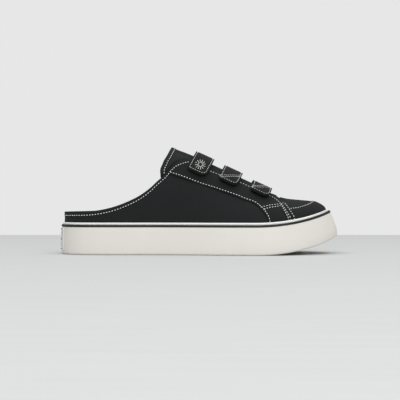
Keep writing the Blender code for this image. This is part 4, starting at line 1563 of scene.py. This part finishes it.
def inset_from_edge(turn, edge, inset):
    """Climb this far below an edge, measured on the skin."""
    below = edge - 0.02
    step = np.linalg.norm(skin(turn, edge) - skin(turn, below), axis=-1)
    return edge - 0.02 * inset / step


def side_seam(table, lift, inner_side, count=60):
    angle, climb = on_side(*table_points(table, count))
    return seam_on_skin(angle, climb, lift, inner_side)


def collar_seam():
    """One seam round the collar from the outer throat over the heel to the inner throat."""
    reach = float(plan_angle(0.455))
    angle = np.linspace(-reach, reach, 260)
    turn = np.mod(angle, FULL_TURN)
    share = length_share(turn)
    inset = COLLAR_STITCH_INSET + COLLAR_TOP_STITCH_DROP * smooth_step(0.365, 0.430, share)
    climb = inset_from_edge(turn, edge_climb(turn), inset)
    lift = 0.55 * MM + OVERLAY_THICKNESS * smooth_step(0.386, 0.392, share)
    return over_skin(turn, climb, lift)


def upper_seams():
    on_overlay = OVERLAY_THICKNESS + 0.05 * MM
    seams = [collar_seam()]
    for inner_side in (False, True):
        seams.append(side_seam(FACING_SEAM, on_overlay, inner_side, 160))
        seams.append(side_seam(NOSE_SEAM_UPPER, on_overlay, inner_side))
        seams.append(side_seam(NOSE_SEAM_LOWER, on_overlay, inner_side))
        seams.append(side_seam(BAND_SEAM_BACK, on_overlay + BAND_THICKNESS, inner_side))
        seams.append(side_seam(BAND_SEAM_MIDDLE, on_overlay + BAND_THICKNESS, inner_side))
        seams.append(side_seam(BAND_SEAM_FRONT, on_overlay + BAND_THICKNESS, inner_side))
        seams.append(side_seam(THROAT_SEAM, on_overlay, inner_side, 120))
    cap = []
    for inner_side in (False, True):
        start = float(on_side([TOE_CAP_SEAM_START_SHARE], [TOE_CAP_SEAM_START_RISE])[0][0])
        angle = np.linspace(start, math.pi, 90)
        turn = mirrored(angle, inner_side)
        climb = inset_from_edge(turn, climb_to_line(turn, TOE_CAP_LINE), TOE_CAP_SEAM_INSET)
        cap.append(over_skin(turn, climb, overlay_lift(turn, climb, TOE_CAP_THICKNESS + 0.05 * MM)))
    seams.append(np.concatenate([cap[0], cap[1][-2::-1]]))
    return seams


def tongue_seam():
    along = np.array([0.0, 0.02, 0.04, 0.06])
    turn, climb = tongue_grid(along, 40)
    place = skin(turn, climb)
    run = run_lengths(place, 0)
    share = np.array([np.interp(TONGUE_SEAM_INSET, run[:, n], along) for n in range(run.shape[1])])
    rows = np.stack([np.interp(share[n], along, turn[:, n]) for n in range(len(share))])
    lift = tongue_lift(rows, climb[0], True) + 0.8 * MM
    seam = over_skin(rows, climb[0], lift)
    return seam[2:-2]


def strap_seams(path):
    """Stitches along both long edges and round the outer end of a strap."""
    half = 0.5 * STRAP_WIDTH - STRAP_STITCH_INSET
    turn, climb, lift = strap_sheet(path, np.array([-half, half]), STRAP_STITCH_START,
                                    STRAP_STITCH_END, 70)
    edges = over_skin(turn, climb, lift + STRAP_THICKNESS - 0.25 * MM)
    across = np.linspace(-half, half, 30)
    turn, climb, lift = path.grid(across, np.full(30, STRAP_STITCH_END), False)
    end = over_skin(turn, climb, lift + STRAP_THICKNESS - 0.1 * MM)
    return [np.concatenate([edges[0], end, edges[1][::-1]])]


def strap_spots(path, across, height):
    """Points on top of a strap's outer end at these places across and these heights."""
    def below(share):
        turn, climb, lift = path.grid(across, share, False)
        return height - over_skin(turn, climb, lift + STRAP_THICKNESS)[:, 2]
    share = find_root(below, np.full(across.shape, 0.02), np.full(across.shape, 0.97), 14)
    turn, climb, lift = path.grid(across, share, False)
    return over_skin(turn, climb, lift + STRAP_THICKNESS + 0.02 * MM)


def strap_cross_seams(path, height):
    """Two close rows across the outer end of a strap, level as seen from the side."""
    reach = 0.5 * STRAP_WIDTH - 0.8 * MM
    across = np.linspace(-reach, reach, 26)
    return [strap_spots(path, across, height + CROSS_ROW_OFFSET),
            strap_spots(path, across, height - CROSS_ROW_OFFSET)]


def emblem_seams(path):
    """Plain round daisy of satin stitches in pale thread on the top strap."""
    slope = math.radians(STRAP_SLOPE_DEG)
    rays = np.linspace(0.0, FULL_TURN, EMBLEM_RAYS, endpoint=False)
    reach = np.linspace(EMBLEM_INNER, EMBLEM_OUTER, 4)
    across = np.cos(rays)[:, None] * reach[None, :]
    down = np.sin(rays)[:, None] * reach[None, :]
    height = EMBLEM_HEIGHT - across * math.sin(slope) - down * math.cos(slope)
    spots = strap_spots(path, across.ravel(), height.ravel())
    return list(spots.reshape(EMBLEM_RAYS, 4, 3))


STITCH_TREE = stitch_tree()
upper = build_upper()
finished(upper, ["upper"])
build_facing("outer_facing", False, "eyestay_lateral")
build_facing("inner_facing", True, "eyestay_medial")
build_toe_cap()
build_band("outer_band", False)
build_band("inner_band", True)
build_tongue()
stitch_piece("upper_stitching", upper_seams(), "canvas")
stitch_piece("tongue_stitching", [tongue_seam()], "canvas")
for strap_name, strap_share, strap_lift, strap_drop, row_height in STRAPS:
    strap_path = StrapPath(strap_share, strap_lift, strap_drop)
    build_strap(strap_name, strap_path)
    build_hook_pad(strap_name, strap_path)
    stitch_piece("strap_%s_stitching" % strap_name, strap_seams(strap_path), "strap_webbing",
                 *STRAP_EDGE_STITCH)
    if row_height is None:
        stitch_piece("strap_emblem", emblem_seams(strap_path), "strap_webbing",
                     *EMBLEM_STITCH)
    else:
        stitch_piece("strap_%s_cross_stitching" % strap_name,
                     strap_cross_seams(strap_path, row_height), "strap_webbing",
                     *CROSS_ROW_STITCH)
build_sidewall()
build_stripe()
build_outsole()
build_insole()
build_label()


# Room, light and camera
def flat_panel(name, corners, material):
    mesh = bpy.data.meshes.new(name)
    mesh.from_pydata(corners, [], [(0, 1, 2, 3)])
    mesh.materials.append(material)
    made = bpy.data.objects.new(name, mesh)
    bpy.context.scene.collection.objects.link(made)
    return made


def floor_finish():
    """Pale washed boards: faint streaks along the shoe."""
    finish = Finish("pale floor", 0.8, specular=0.2)
    x, y, _ = finish.parts(finish.object_place())
    place = finish.node("ShaderNodeCombineXYZ", None, {0: x * 6.0, 1: y * 60.0}).out()
    streak = finish.noise(place, 1.6, 6.0, 0.65)
    finish.colour(finish.blend(streak, linear(193, 194, 194), linear(202, 203, 203)))
    finish.relief(streak, 0.4 * MM, 0.4)
    return finish.material


flat_panel("floor", [(-FLOOR_REACH, -FLOOR_REACH, 0.0), (FLOOR_REACH, -FLOOR_REACH, 0.0),
                     (FLOOR_REACH, WALL_BEHIND, 0.0), (-FLOOR_REACH, WALL_BEHIND, 0.0)],
           floor_finish())


def area_light(name, place, target, size, power):
    data = bpy.data.lights.new(name, "AREA")
    data.shape = "RECTANGLE"
    data.size = size[0]
    data.size_y = size[1]
    data.energy = power
    made = bpy.data.objects.new(name, data)
    made.location = place
    aim = Vector(target) - Vector(place)
    made.rotation_euler = aim.to_track_quat("-Z", "Y").to_euler()
    bpy.context.scene.collection.objects.link(made)


for softbox in SOFTBOXES:
    area_light(*softbox)


def studio_world():
    """Even pale backdrop that lights the shoe less than it shows, so that shadows keep depth."""
    world = bpy.data.worlds.new("studio")
    world.use_nodes = True
    nodes = world.node_tree.nodes
    lighting = nodes["Background"]
    backdrop = nodes.new("ShaderNodeBackground")
    for background, strength in ((lighting, LIGHTING_STRENGTH), (backdrop, BACKDROP_STRENGTH)):
        background.inputs["Color"].default_value = (*linear(*[BACKDROP_TONE] * 3), 1.0)
        background.inputs["Strength"].default_value = strength
    rays = nodes.new("ShaderNodeLightPath")
    mix = nodes.new("ShaderNodeMixShader")
    link = world.node_tree.links.new
    link(rays.outputs["Is Camera Ray"], mix.inputs["Fac"])
    link(lighting.outputs[0], mix.inputs[1])
    link(backdrop.outputs[0], mix.inputs[2])
    link(mix.outputs[0], nodes["World Output"].inputs["Surface"])
    return world


bpy.context.scene.world = studio_world()
bpy.context.scene.view_settings.view_transform = "Standard"

camera_data = bpy.data.cameras.new("camera")
camera_data.sensor_width = SENSOR_WIDTH
camera_data.lens = SENSOR_WIDTH * CAMERA_DISTANCE / VIEW_WIDTH
camera = bpy.data.objects.new("camera", camera_data)
camera.location = (CAMERA_ALONG + SHIFT[0], -CAMERA_DISTANCE, CAMERA_HEIGHT)
camera.rotation_euler = (0.5 * math.pi, 0.0, 0.0)
bpy.context.scene.collection.objects.link(camera)
bpy.context.scene.camera = camera
